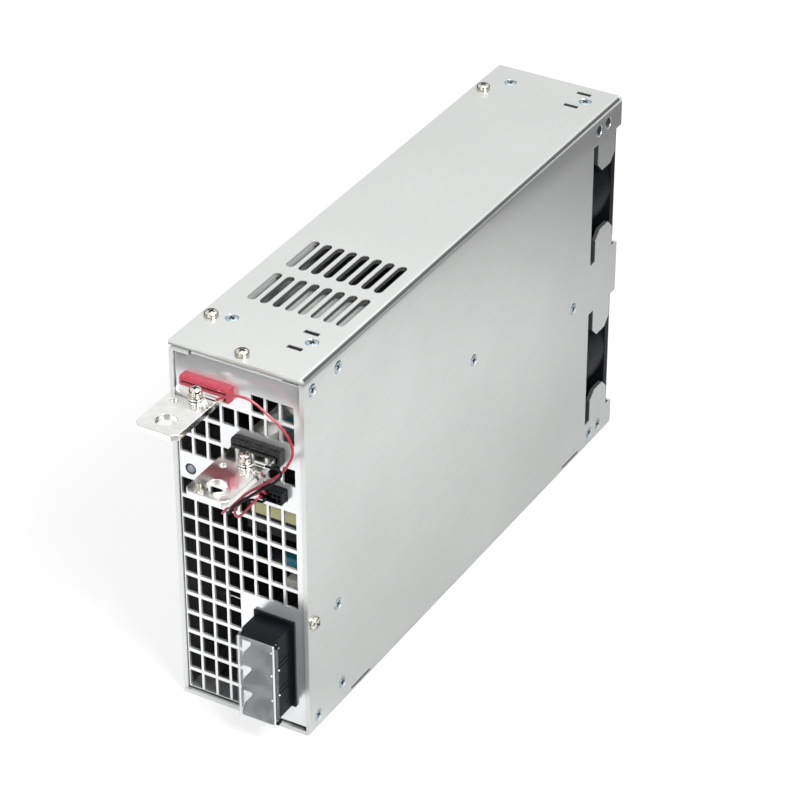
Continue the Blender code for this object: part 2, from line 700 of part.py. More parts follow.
def grille_centres():
    """Middle points of all holes in the front grille."""
    half_x = GRILLE_HOLE_WIDTH / 2 + HOLE_MARGIN
    half_z = GRILLE_HOLE_HEIGHT / 2 + HOLE_MARGIN
    lower_rows = int((LAMP_CENTRE[1] - LAMP_RADIUS - half_z - LOWER_ROW_Z) / GRILLE_PITCH_Z) + 1
    heights = [LOWER_ROW_Z + row * GRILLE_PITCH_Z for row in range(lower_rows)]
    heights += [CASE_HEIGHT - UPPER_ROW_DROP + row * GRILLE_PITCH_Z for row in range(UPPER_ROWS)]
    centres = []
    for z in heights:
        for column in range(GRILLE_COLUMNS):
            x = PANEL_LEFT + GRILLE_FROM_LEFT + column * GRILLE_PITCH_X
            clear = all(
                x + half_x <= left or x - half_x >= right or z + half_z <= low or z - half_z >= high
                for left, right, low, high in fittings()
            )
            if clear:
                centres.append((x, z))
    return centres


def add_side_tab(shape, z_range, y_range):
    """Small tab bent from a panel's right edge, lapped into the panel."""
    outer = PANEL_RIGHT - TAB_INSET
    add_box(shape, (outer - PANEL_SHEET, outer), y_range, z_range)


def add_corner_notch(shape, x_range, edge, flange, past):
    """Stepped cut across a panel corner: the panel's edge is trimmed, its flange goes altogether."""
    step = PANEL_BACK - TAB_INSET
    outline = [
        (PANEL_FACE - SHEET, edge), (step, edge), (step, flange),
        (PANEL_FACE + PANEL_FLANGE + SHEET, flange), (PANEL_FACE + PANEL_FLANGE + SHEET, past),
        (PANEL_FACE - SHEET, past),
    ]
    add_prism(shape, outline, "X", *x_range)


def screw_bore(inner, outer):
    return [(0.0, inner), (SCREW_HOLE_RADIUS, inner), (SCREW_HOLE_RADIUS, outer), (0.0, outer)]


def front_panel(finish):
    """Perforated panel with flanges bent back under the top sheet and over the bottom sheet."""
    high = INNER_TOP - FIT_GAP
    low = SHEET + FIT_GAP
    back = PANEL_FACE + PANEL_FLANGE
    section = folded_sheet([(back, high), (PANEL_FACE, high), (PANEL_FACE, low), (back, low)],
                           PANEL_SHEET, PANEL_BEND)
    made = solid("front_panel", prism(section, "X", PANEL_LEFT, PANEL_RIGHT), finish)
    tabs = bmesh.new()
    tab_range = (PANEL_FACE + PANEL_SHEET / 2, back)
    for z_range in FRONT_TABS:
        add_side_tab(tabs, z_range, tab_range)
    weld(made, tabs, "tabs")
    corners = bmesh.new()
    y_range = (PANEL_FACE - SHEET, back + SHEET)
    under_cover = high - SHEET - FIT_GAP
    add_box(corners, (LEFT, FLANGE_LEFT), y_range, (under_cover, CASE_HEIGHT))
    right_end = (FLANGE_RIGHT, RIGHT)
    add_corner_notch(corners, right_end, INNER_TOP - CORNER_GAP, high - SHEET, CASE_HEIGHT)
    add_corner_notch(corners, right_end, SHEET + CORNER_GAP, low + SHEET, 0.0)
    cut(made, corners, "corners")
    holes = bmesh.new()
    through = (PANEL_FACE - SHEET, PANEL_BACK + SHEET)
    for x, z in grille_centres():
        outline = rectangle(*centred(x, GRILLE_HOLE_WIDTH), *centred(z, GRILLE_HOLE_HEIGHT))
        add_prism(holes, outline, "Y", *through)
    for x, top, _ in BARS.values():
        wide = BAR_WIDTH + 2 * FIT_GAP
        z_range = (top - BAR_THICKNESS - FIT_GAP, top + FIT_GAP)
        add_prism(holes, rectangle(*centred(x, wide), *z_range), "Y", *through)
    plug = plug_size()
    outline = rectangle(*centred(PLUG_CENTRE[0], plug[0] + 2 * FIT_GAP),
                        *centred(PLUG_CENTRE[1], plug[1] + 2 * FIT_GAP))
    add_prism(holes, outline, "Y", *through)
    add_prism(holes, circle(LAMP_CENTRE, LAMP_RADIUS + FIT_GAP, MANY_SIDES), "Y", *through)
    cut(made, holes, "holes")
    bores = bmesh.new()
    top_bore = screw_bore(high - SHEET, high + SHEET)
    add_turned(bores, top_bore, "Z", TOP_PAN_SCREWS["panel_screw_top"], FEW_SIDES)
    side_holes = (SIDE_SCREWS["side_screw_front_top"], SIDE_SCREWS["side_screw_front_bottom"],
                  SIDE_PAN_SCREWS["side_panel_screw"])
    for place_yz in side_holes:
        add_turned(bores, screw_bore(PANEL_RIGHT - SHEET, PANEL_RIGHT + SHEET), "X", place_yz, FEW_SIDES)
    cut(made, bores, "bores")
    return made


def rear_panel(finish):
    """Rear wall with two round fan openings and flanges bent forward."""
    high = INNER_TOP - FIT_GAP
    low = SHEET + FIT_GAP
    ahead = REAR_FACE - REAR_FLANGE
    section = folded_sheet([(ahead, low), (REAR_FACE, low), (REAR_FACE, high), (ahead, high)],
                           PANEL_SHEET, PANEL_BEND)
    made = solid("rear_panel", prism(section, "X", PANEL_LEFT, PANEL_RIGHT), finish)
    tabs = bmesh.new()
    for z_range in REAR_TABS:
        add_side_tab(tabs, z_range, (ahead + TAB_INSET, REAR_INSIDE + PANEL_SHEET / 2))
    weld(made, tabs, "tabs")
    corners = bmesh.new()
    y_range = (ahead - SHEET, REAR_FACE - PANEL_BEND - TAB_INSET)
    for z_range in ((0.0, low + SHEET), (high - SHEET, CASE_HEIGHT)):
        add_box(corners, (LEFT, LEFT + COVER_FLANGE + FIT_GAP), y_range, z_range)
    cut(made, corners, "corners")
    holes = bmesh.new()
    through = (REAR_INSIDE - SHEET, REAR + SHEET)
    half = FAN_HOLE_SPACING / 2
    for height in FAN_HEIGHTS.values():
        add_prism(holes, circle((0.0, height), FAN_BORE, FAN_SIDES), "Y", *through)
        for x, z in ((-half, -half), (half, -half), (half, half), (-half, half)):
            add_prism(holes, circle((x, height + z), FAN_HOLE_RADIUS, FEW_SIDES), "Y", *through)
    for name in ("top_rear_screw_left", "top_rear_screw_right"):
        add_turned(holes, screw_bore(high - SHEET, high + SHEET), "Z", TOP_SCREWS[name], FEW_SIDES)
    for name, place_yz in SIDE_SCREWS.items():
        if "rear" in name:
            add_turned(holes, screw_bore(PANEL_RIGHT - SHEET, PANEL_RIGHT + SHEET), "X", place_yz, FEW_SIDES)
    cut(made, holes, "holes")
    return made


def fan_frame(name, finish):
    """Square fan housing: two flanges, a round duct, a motor base on struts and a bearing tube."""
    half = FAN_SIZE / 2
    outline = rounded_rectangle(-half, half, -half, half, FAN_CORNER, steps=2)
    made = solid(name, prism(outline, "Y", -FAN_DEPTH / 2, FAN_DEPTH / 2), finish, smooth=True)
    waist = bmesh.new()
    inside = FAN_DEPTH / 2 - FAN_FLANGE
    duct = half - 0.15 * MM
    add_turned(waist, [(duct, -inside), (duct, inside), (FAN_SIZE, inside), (FAN_SIZE, -inside)],
               "Y", (0.0, 0.0), FAN_SIDES)
    cut(made, waist, "waist")
    bore = bmesh.new()
    add_prism(bore, circle((0.0, 0.0), FAN_BORE, FAN_SIDES), "Y", -FAN_DEPTH, FAN_DEPTH)
    spread = FAN_HOLE_SPACING / 2
    for x, z in ((-spread, -spread), (spread, -spread), (spread, spread), (-spread, spread)):
        add_prism(bore, circle((x, z), FAN_HOLE_RADIUS, FEW_SIDES), "Y", -FAN_DEPTH, FAN_DEPTH)
    cut(made, bore, "bore")
    front = -FAN_DEPTH / 2
    struts = bmesh.new()
    for index in range(STRUT_COUNT):
        turn = Matrix.Rotation(math.radians(45.0) + index * 2 * math.pi / STRUT_COUNT, 3, "Y")
        reach = FAN_BORE + 0.6 * MM
        start = MOTOR_BASE_RADIUS - 1.0 * MM
        z_half = STRUT_WIDTH / 2
        corners = [(start, -z_half), (reach, -z_half), (reach, z_half), (start, z_half)]
        y_low, y_high = front + 0.2 * MM, front + MOTOR_BASE_DEPTH - 0.4 * MM
        low = [struts.verts.new(turn @ Vector((a, y_low, b))) for a, b in corners]
        high = [struts.verts.new(turn @ Vector((a, y_high, b))) for a, b in corners]
        for side in range(4):
            after = (side + 1) % 4
            struts.faces.new((low[side], low[after], high[after], high[side]))
        struts.faces.new(low[::-1])
        struts.faces.new(high)
    weld(made, struts, "struts")
    base_back = front + MOTOR_BASE_DEPTH
    bearing = SHAFT_RADIUS + SHAFT_GAP
    base = turned(
        [
            (bearing, front),
            (MOTOR_BASE_RADIUS, front),
            (MOTOR_BASE_RADIUS, base_back),
            (BEARING_RADIUS, base_back),
            (BEARING_RADIUS, base_back + BEARING_LENGTH),
            (bearing, base_back + BEARING_LENGTH),
        ],
        "Y", (0.0, 0.0), MANY_SIDES,
    )
    weld(made, base, "motor_base")
    return made


def add_blade(shape, turn):
    """One swept fan blade with a cambered section, rooted inside the hub wall."""
    radii = (HUB_RADIUS - HUB_WALL / 2, (HUB_RADIUS + FAN_BORE) / 2, FAN_BORE - BLADE_TIP_GAP)
    rows = []
    for radius in radii:
        row = []
        for side in (-1, 1):
            for step in range(3):
                chord = step - 1.0
                camber = 1.1 * MM * (1 - chord * chord)
                angle = turn + chord * BLADE_SWEEP * (1.0 + 0.12 * (radius / FAN_BORE))
                thick = BLADE_THICKNESS / 2 * (1.0 if abs(chord) < 0.9 else 0.45)
                along = chord * BLADE_RISE + camber + side * thick
                row.append(shape.verts.new((radius * math.cos(angle), along, radius * math.sin(angle))))
        rows.append(row[:3] + row[:2:-1])
    for near, far in zip(rows[:-1], rows[1:]):
        for step in range(6):
            after = (step + 1) % 6
            shape.faces.new((near[step], near[after], far[after], far[step]))
    for row in (rows[0], rows[-1]):
        for step in range(2):
            shape.faces.new((row[step], row[step + 1], row[4 - step], row[5 - step]))


def fan_rotor(name, finish):
    """Hub cup with shaft and blades; its origin lies on the fan's axis."""
    open_side = -FAN_DEPTH / 2 + MOTOR_BASE_DEPTH + 0.6 * MM
    cap = open_side + HUB_DEPTH
    inner = HUB_RADIUS - HUB_WALL
    made = solid(
        name,
        turned(
            [
                (0.0, cap),
                (HUB_RADIUS - 1.2 * MM, cap),
                (HUB_RADIUS, cap - 1.2 * MM),
                (HUB_RADIUS, open_side),
                (inner, open_side),
                (inner, cap - HUB_WALL),
                (SHAFT_RADIUS, cap - HUB_WALL),
                (SHAFT_RADIUS, open_side + 0.5 * MM),
                (0.0, open_side + 0.5 * MM),
            ],
            "Y", (0.0, 0.0), MANY_SIDES,
        ),
        finish, smooth=True,
    )
    blades = bmesh.new()
    for index in range(BLADE_COUNT):
        add_blade(blades, 2 * math.pi * index / BLADE_COUNT)
    for vertex in blades.verts:
        vertex.co.y += (open_side + cap) / 2 - 1.0 * MM
    weld(made, blades, "blades")
    return made


def finger_guard(name, finish):
    """Welded wire guard, held by four long pan-head screws through the fan."""
    wire_plane = PANEL_SHEET + FIT_GAP + GUARD_WIRE
    ring_plane = wire_plane + 2 * GUARD_WIRE - GUARD_LAP
    spread = FAN_HOLE_SPACING / 2
    first = bmesh.new()
    add_rod(first, (-spread, wire_plane, -spread), (spread, wire_plane, spread), GUARD_WIRE)
    made = solid(name, first, finish, smooth=True)
    second = bmesh.new()
    add_rod(second, (-spread, wire_plane, spread), (spread, wire_plane, -spread), GUARD_WIRE)
    weld(made, second, "cross_wire")
    rings = bmesh.new()
    for radius in GUARD_RINGS:
        add_ring(rings, (0.0, ring_plane, 0.0), radius, GUARD_WIRE)
    weld(made, rings, "rings")
    screws = bmesh.new()
    seat = wire_plane + GUARD_WIRE * 0.4
    radius, rise = FAN_SCREW_HEAD
    profile = [
        (0.0, seat - FAN_SCREW_LENGTH),
        (FAN_SCREW_RADIUS, seat - FAN_SCREW_LENGTH),
        (FAN_SCREW_RADIUS, seat),
        (radius, seat),
        (radius, seat + rise * 0.6),
        (radius * 0.6, seat + rise),
        (0.0, seat + rise),
    ]
    for x, z in ((-spread, -spread), (spread, -spread), (spread, spread), (-spread, spread)):
        add_turned(screws, profile, "Y", (x, z), FEW_SIDES)
    weld(made, screws, "screws")
    return made


def cut_cross(made, top):
    """Cut a cross recess into the top of a screw head."""
    length, width, depth = CROSS
    far, near = length / 2, width / 2
    arm = [(far, -near), (far, near), (near, near)]
    outline = []
    for quarter in range(4):
        turn = quarter * math.pi / 2
        for a, b in arm:
            outline.append((a * math.cos(turn) - b * math.sin(turn), a * math.sin(turn) + b * math.cos(turn)))
    cut(made, prism(outline, "Z", top - depth, top + depth), "cross")


def countersunk_screw(name, finish, location, direction):
    """Flat head set in the sheet with a small clearance all round."""
    head = COUNTERSINK_RADIUS - FIT_GAP
    shank_top = -(COUNTERSINK_DEPTH * (head - SCREW_RADIUS) / (COUNTERSINK_RADIUS - SCREW_HOLE_RADIUS))
    profile = [
        (0.0, -SCREW_LENGTH),
        (SCREW_RADIUS, -SCREW_LENGTH),
        (SCREW_RADIUS, shank_top),
        (head, 0.0),
        (0.0, 0.0),
    ]
    made = solid(name, turned(profile, "Z", (0.0, 0.0), SOME_SIDES), finish, smooth=True)
    return place(made, location, facing(direction))


def pan_screw(name, finish, location, direction):
    """Domed head standing on the sheet."""
    radius, rise = PAN_HEAD
    profile = [
        (0.0, -SCREW_LENGTH),
        (SCREW_RADIUS, -SCREW_LENGTH),
        (SCREW_RADIUS, FIT_GAP / 2),
        (radius, FIT_GAP / 2),
        (radius, rise * 0.5),
        (radius * 0.75, rise),
        (0.0, rise),
    ]
    made = solid(name, turned(profile, "Z", (0.0, 0.0), SOME_SIDES), finish, smooth=True)
    return place(made, location, facing(direction))


def sense_place(bar):
    """X and Y of the sense screw on a bar."""
    x, _, reach = bar
    return x + BAR_SCREW_SHIFT, FRONT - reach + BAR_SCREW_FROM_END


def bus_bar(name, finish, bar):
    """Flat plated bar with chamfered end, bolt hole, two taps and a sense screw hole."""
    x, top, reach = bar
    end = FRONT - reach
    outline = chamfered_rectangle(*centred(x, BAR_WIDTH), end, PANEL_BACK + BAR_INSIDE,
                                  (BAR_CHAMFER, BAR_CHAMFER, 0.0, 0.0))
    made = solid(name, prism(outline, "Z", top - BAR_THICKNESS, top), finish)
    holes = bmesh.new()
    through = (top - 2 * BAR_THICKNESS, top + BAR_THICKNESS)
    add_prism(holes, circle((x, end + BAR_BOLT_FROM_END), BAR_BOLT_RADIUS, MANY_SIDES), "Z", *through)
    for side in (-1, 1):
        tap = (x + side * BAR_TAP_SPREAD / 2, end + BAR_TAP_FROM_END)
        add_prism(holes, circle(tap, BAR_TAP_RADIUS, SOME_SIDES), "Z", *through)
    screw_hole = circle(sense_place(bar), SENSE_SCREW_RADIUS + FIT_GAP, SOME_SIDES)
    add_prism(holes, screw_hole, "Z", *through)
    cut(made, holes, "holes")
    return made


def insulator(name, finish, bar):
    """Moulded collar that carries a bus bar through the front panel."""
    x, top, _ = bar
    wide = BAR_WIDTH + 2 * INSULATOR_SIDE
    high = top + INSULATOR_ABOVE
    low = top - BAR_THICKNESS - INSULATOR_BELOW
    face = PANEL_FACE - FIT_GAP
    section = chamfered_rectangle(face - INSULATOR_DEPTH, face, low, high,
                                  (INSULATOR_CHAMFER, 0.0, 0.0, INSULATOR_CHAMFER))
    made = solid(name, prism(section, "X", *centred(x, wide)), finish)
    slot = box(centred(x, BAR_WIDTH + 2 * FIT_GAP), (face - 2 * INSULATOR_DEPTH, face + SHEET),
               (top - BAR_THICKNESS - FIT_GAP, top + FIT_GAP))
    cut(made, slot, "bar_slot")
    return made


def sense_screw(name, finish, bar):
    """Pan screw with a spring washer and a flat washer, through the lug and the bar."""
    seat = LUG_THICKNESS + 2 * FIT_GAP
    washer_top = seat + WASHER[1]
    spring_top = washer_top + SPRING_WASHER[1]
    head_radius, head_rise = SENSE_HEAD
    tip = -BAR_THICKNESS * 1.5
    profile = [
        (0.0, tip),
        (SENSE_SCREW_RADIUS, tip),
        (SENSE_SCREW_RADIUS, seat),
        (WASHER[0], seat),
        (WASHER[0], washer_top),
        (SPRING_WASHER[0], washer_top),
        (SPRING_WASHER[0], spring_top),
        (head_radius, spring_top),
        (head_radius, spring_top + head_rise * 0.6),
        (head_radius * 0.7, spring_top + head_rise),
        (0.0, spring_top + head_rise),
    ]
    made = solid(name, turned(profile, "Z", (0.0, 0.0), SOME_SIDES), finish, smooth=True)
    cut_cross(made, spring_top + head_rise)
    return place(made, (*sense_place(bar), bar[1]))


def lug_height():
    return FIT_GAP + LUG_THICKNESS / 2 + LUG_CRANK


def sense_lug(name, finish, bar):
    """Ring tongue under the sense screw, cranked up to a crimped barrel that points to the right."""
    low, high = FIT_GAP, FIT_GAP + LUG_THICKNESS
    ring = prism(circle((0.0, 0.0), LUG_RING_RADIUS, MANY_SIDES), "Z", low, high)
    made = solid(name, ring, finish, smooth=True)
    foot = LUG_RING_RADIUS + FIT_GAP
    barrel_start = LUG_LENGTH - LUG_BARREL[1]
    slope = [
        (LUG_RING_RADIUS * 0.6, low), (foot, low), (barrel_start + FIT_GAP, low + LUG_CRANK),
        (LUG_TONGUE[0], low + LUG_CRANK), (LUG_TONGUE[0], high + LUG_CRANK),
        (barrel_start, high + LUG_CRANK), (foot - FIT_GAP, high), (LUG_RING_RADIUS * 0.6, high),
    ]
    tongue = bmesh.new()
    half = LUG_TONGUE[1] / 2
    near = [tongue.verts.new((x, -half, z)) for x, z in slope]
    far = [tongue.verts.new((x, half, z)) for x, z in slope]
    for index in range(len(slope)):
        after = (index + 1) % len(slope)
        tongue.faces.new((near[index], near[after], far[after], far[index]))
    tongue.faces.new(near[::-1])
    tongue.faces.new(far)
    weld(made, tongue, "tongue")
    barrel = bmesh.new()
    height = lug_height()
    add_rod(barrel, (barrel_start, 0.0, height), (LUG_LENGTH, 0.0, height), LUG_BARREL[0], SOME_SIDES)
    weld(made, barrel, "barrel")
    bore = prism(circle((0.0, 0.0), SENSE_SCREW_RADIUS + FIT_GAP, SOME_SIDES), "Z", -SHEET, 2 * SHEET)
    cut(made, bore, "bore")
    return place(made, (*sense_place(bar), bar[1]))


def smooth_route(points, step):
    """Even points on a smooth curve through hand-chosen points."""
    nodes = [Vector(point) for point in points]
    padded = [2 * nodes[0] - nodes[1], *nodes, 2 * nodes[-1] - nodes[-2]]
    dense = []
    for index in range(len(nodes) - 1):
        before, start, end, after = padded[index:index + 4]
        for part in range(16):
            t = part / 16
            dense.append(0.5 * (2 * start + (end - before) * t
                                + (2 * before - 5 * start + 4 * end - after) * t * t
                                + (3 * start - before - 3 * end + after) * t * t * t))
    dense.append(nodes[-1])
    lengths = [0.0]
    for near, far in zip(dense[:-1], dense[1:]):
        lengths.append(lengths[-1] + (far - near).length)
    count = max(8, round(lengths[-1] / step))
    even = []
    place_in = 0
    for index in range(count + 1):
        wanted = lengths[-1] * index / count
        while place_in < len(dense) - 2 and lengths[place_in + 1] < wanted:
            place_in += 1
        span = lengths[place_in + 1] - lengths[place_in]
        part = (wanted - lengths[place_in]) / span
        even.append(dense[place_in].lerp(dense[place_in + 1], min(max(part, 0.0), 1.0)))
    return even


def wire(name, finish, points):
    """Insulated wire along a route."""
    route = smooth_route(points, WIRE_STEP)
    curve = bpy.data.curves.new(name, "CURVE")
    curve.dimensions = "3D"
    curve.bevel_depth = WIRE_RADIUS
    curve.bevel_resolution = 2
    curve.use_fill_caps = True
    curve.resolution_u = 1
    curve.render_resolution_u = 0
    spline = curve.splines.new("POLY")
    spline.points.add(len(route) - 1)
    for knot, point in zip(spline.points, route):
        knot.co = (*point, 1.0)
    curve.materials.append(finish)
    made = bpy.data.objects.new(name, curve)
    bpy.context.scene.collection.objects.link(made)
    return made


def plug_size():
    wide = PLUG_COLUMNS * PLUG_PITCH + PLUG_WALL
    high = PLUG_ROWS * PLUG_PITCH + 2 * PLUG_WALL
    return wide, high


def cavity(column, row):
    """Middle of one plug cavity, as X and Z."""
    x = PLUG_CENTRE[0] + (column - (PLUG_COLUMNS - 1) / 2) * PLUG_PITCH
    z = PLUG_CENTRE[1] + (row - (PLUG_ROWS - 1) / 2) * PLUG_PITCH
    return x, z


def signal_connector(finish):
    """Small plug housing in its window in the panel, with its wire cavities towards the front."""
    wide, high = plug_size()
    face = PANEL_FACE - PLUG_REACH
    outline = chamfered_rectangle(*centred(PLUG_CENTRE[0], wide), *centred(PLUG_CENTRE[1], high),
                                  (0.3 * MM,) * 4)
    made = solid("signal_connector", prism(outline, "Y", face, face + PLUG_DEPTH), finish)
    cavities = bmesh.new()
    for column in range(PLUG_COLUMNS):
        for row in range(PLUG_ROWS):
            x, z = cavity(column, row)
            opening = rectangle(*centred(x, PLUG_CAVITY), *centred(z, PLUG_CAVITY))
            add_prism(cavities, opening, "Y", face - SHEET, face + PLUG_CAVITY_DEPTH)
    cut(made, cavities, "cavities")
    return made


def lug_end(bar):
    """Where the wire leaves the barrel of a sense lug."""
    x, y = sense_place(bar)
    return x + LUG_LENGTH + FIT_GAP, y, bar[1] + lug_height()


def routed(points):
    """Points in the case's frame for a wire route."""
    return [(RIGHT - inset * MM, FRONT - ahead * MM, CASE_HEIGHT - drop * MM)
            for inset, ahead, drop in points]


def sense_wires(red, black):
    """Three short insulated wires between the sense lugs and the signal connector."""
    face = PANEL_FACE - PLUG_REACH - FIT_GAP
    ends = {key: (cavity(*key)[0], face, cavity(*key)[1]) for key in ((0, 0), (0, 1), (1, 0), (1, 1))}
    start = lug_end(BARS["positive"])
    span = RIGHT - WIDEST_INSET * MM - start[0]
    rise = [(start[0] + share * span, FRONT - ahead * MM, CASE_HEIGHT - drop * MM)
            for share, ahead, drop in POSITIVE_RISE]
    x, y, z = ends[(1, 1)]
    entry = (x, y - 0.7 * MM, z + 0.65 * MM)
    wire("positive_sense_wire", red, [start, *rise, *routed(POSITIVE_FALL), entry, ends[(1, 1)]])
    start = lug_end(BARS["negative"])
    wire("negative_sense_wire", black, [start, *routed(NEGATIVE_ROUTE), ends[(1, 0)]])
    wire("remote_link_wire", red, [ends[(0, 1)], *routed(LINK_ROUTE), ends[(0, 0)]])


def status_lamp(finish):
    """Domed lens through the panel, with its collar behind it."""
    collar_radius, collar = LAMP_COLLAR
    behind = PANEL_BACK + FIT_GAP
    tip = PANEL_FACE - LAMP_REACH
    profile = [
        (0.0, behind + collar),
        (collar_radius, behind + collar),
        (collar_radius, behind),
        (LAMP_RADIUS, behind),
        (LAMP_RADIUS, tip + LAMP_RADIUS * 0.55),
    ]
    for step in (1, 2, 3):
        turn = step / 4 * math.pi / 2
        rise = LAMP_RADIUS * 0.55 * math.sin(turn)
        profile.append((LAMP_RADIUS * math.cos(turn), tip + LAMP_RADIUS * 0.55 - rise))
    profile.append((0.0, tip))
    return solid("status_lamp", turned(profile, "Y", LAMP_CENTRE, SOME_SIDES + 4), finish, smooth=True)


BLOCK_FACE = PANEL_FACE - FIT_GAP - BLOCK_DEPTH
BLOCK_LEFT = BLOCK_CENTRE[0] - BLOCK_WIDTH / 2
BLOCK_RIGHT = BLOCK_CENTRE[0] + BLOCK_WIDTH / 2
BLOCK_HEIGHT = POLE_COUNT * POLE_PITCH + BLOCK_WALL
BLOCK_LOW = BLOCK_CENTRE[1] - BLOCK_HEIGHT / 2
BLOCK_HIGH = BLOCK_CENTRE[1] + BLOCK_HEIGHT / 2
HINGE_X = BLOCK_RIGHT + HINGE_OUT
HINGE_Y = BLOCK_FACE + HINGE_BACK


def pole_heights():
    return [BLOCK_LOW + BLOCK_WALL / 2 + (index + 0.5) * POLE_PITCH for index in range(POLE_COUNT)]


def mains_block(finish):
    """Barrier block: back and right wall, fins between the poles, open to the left and the front.

    The fins' front corners are slanted on the open side.
    """
    back = PANEL_FACE - FIT_GAP
    made = solid(
        "mains_terminal_block",
        box((BLOCK_LEFT, BLOCK_RIGHT), (BLOCK_FACE, back), (BLOCK_LOW, BLOCK_HIGH)), finish,
    )
    cells = bmesh.new()
    for z in pole_heights():
        add_box(cells, (BLOCK_LEFT - SHEET, BLOCK_RIGHT - BLOCK_WALL),
                (BLOCK_FACE - SHEET, back - BLOCK_BACK), centred(z, POLE_PITCH - BLOCK_WALL))
    cut(made, cells, "cells")
    across, along = BLOCK_SLANT
    corner = [
        (BLOCK_LEFT - across, BLOCK_FACE - along), (BLOCK_LEFT + 2 * across, BLOCK_FACE - along),
        (BLOCK_LEFT - across, BLOCK_FACE + 2 * along),
    ]
    cut(made, prism(corner, "Z", BLOCK_LOW - SHEET, BLOCK_HIGH + SHEET), "slant")
    wide, high, thick = BLOCK_FLANGE
    flange = box(centred(BLOCK_CENTRE[0] + FLANGE_SHIFT[0], wide), (back - thick, back + 0.02 * MM),
                 centred(BLOCK_CENTRE[1] + FLANGE_SHIFT[1], high))
    weld(made, flange, "flange")
    ears = bmesh.new()
    reach, half = HINGE_EAR
    for low in (BLOCK_LOW, BLOCK_HIGH - HINGE_EAR_HEIGHT):
        inset = 0.02 * MM
        add_box(ears, (BLOCK_RIGHT - 0.6 * MM, HINGE_X + reach), centred(HINGE_Y, 2 * half),
                (low + inset, low + HINGE_EAR_HEIGHT - inset))
    weld(made, ears, "ears")
    bores = bmesh.new()
    for z in pole_heights():
        place_xz = (contact_x(), z)
        add_prism(bores, circle(place_xz, MAINS_SCREW_RADIUS + FIT_GAP, FEW_SIDES), "Y",
                  back - BLOCK_BACK - SHEET, back - BLOCK_WALL)
    add_prism(bores, circle((HINGE_X, HINGE_Y), HINGE_HOLE_RADIUS, SOME_SIDES), "Z",
              BLOCK_LOW - SHEET, BLOCK_HIGH + SHEET)
    cut(made, bores, "bores")
    grooves = bmesh.new()
    wide_groove, deep = GROOVE
    for index in range(1, POLE_COUNT):
        barrier = BLOCK_LOW + BLOCK_WALL / 2 + index * POLE_PITCH
        for side in (-1, 1):
            z = barrier + side * BLOCK_WALL * 0.75
            add_box(grooves, (BLOCK_RIGHT - deep, BLOCK_RIGHT + SHEET),
                    (BLOCK_FACE + 4.5 * MM, back - 2 * thick), centred(z, wide_groove))
    cut(made, grooves, "grooves")
    return made


def contact_x():
    return (BLOCK_LEFT + BLOCK_RIGHT - BLOCK_WALL) / 2


def mains_contact(name, finish, z):
    """Plated terminal plate with its wire stop turned up at the right."""
    wide, high, thick = CONTACT
    seat = PANEL_FACE - FIT_GAP - BLOCK_BACK - FIT_GAP
    x_range = centred(contact_x(), wide)
    outline = [
        (x_range[0], seat), (x_range[0], seat - thick), (x_range[1] - thick, seat - thick),
        (x_range[1] - thick, seat - 3.5 * thick), (x_range[1], seat - 3.5 * thick), (x_range[1], seat),
    ]
    made = solid(name, prism(outline, "Z", *centred(z, high)), finish)
    outline = circle((contact_x(), z), MAINS_SCREW_RADIUS + FIT_GAP, FEW_SIDES)
    cut(made, prism(outline, "Y", seat - 2 * SHEET, seat + SHEET), "hole")
    return made


def mains_screw(name, finish, z):
    """Terminal screw with a square clamp washer, along Y."""
    seat = PANEL_FACE - 2 * FIT_GAP - BLOCK_BACK - CONTACT[2] - FIT_GAP
    radius, rise = MAINS_HEAD
    profile = [
        (0.0, -MAINS_SCREW_LENGTH),
        (MAINS_SCREW_RADIUS, -MAINS_SCREW_LENGTH),
        (MAINS_SCREW_RADIUS, 0.5 * MM),
        (radius, 0.5 * MM),
        (radius, rise * 0.7),
        (radius * 0.8, rise),
        (0.0, rise),
    ]
    made = solid(name, turned(profile, "Z", (0.0, 0.0), SOME_SIDES), finish, smooth=True)
    side = radius * 1.02
    weld(made, box((-side, side), (-side, side), (0.0, 0.9 * MM)), "washer")
    cut_cross(made, rise)
    return place(made, (contact_x(), seat, z), facing((0, -1, 0)))


def cover_slant(offset):
    """Corner and back end of the cover's slanted left side, at an offset from the block."""
    across, along = BLOCK_SLANT
    length = math.hypot(across, along)
    corner = (BLOCK_LEFT + across - HINGE_X - offset * (length - across) / along, -HINGE_BACK - offset)
    end = (BLOCK_LEFT - HINGE_X - offset * along / length, -HINGE_BACK + along - offset * across / length)
    return corner, end


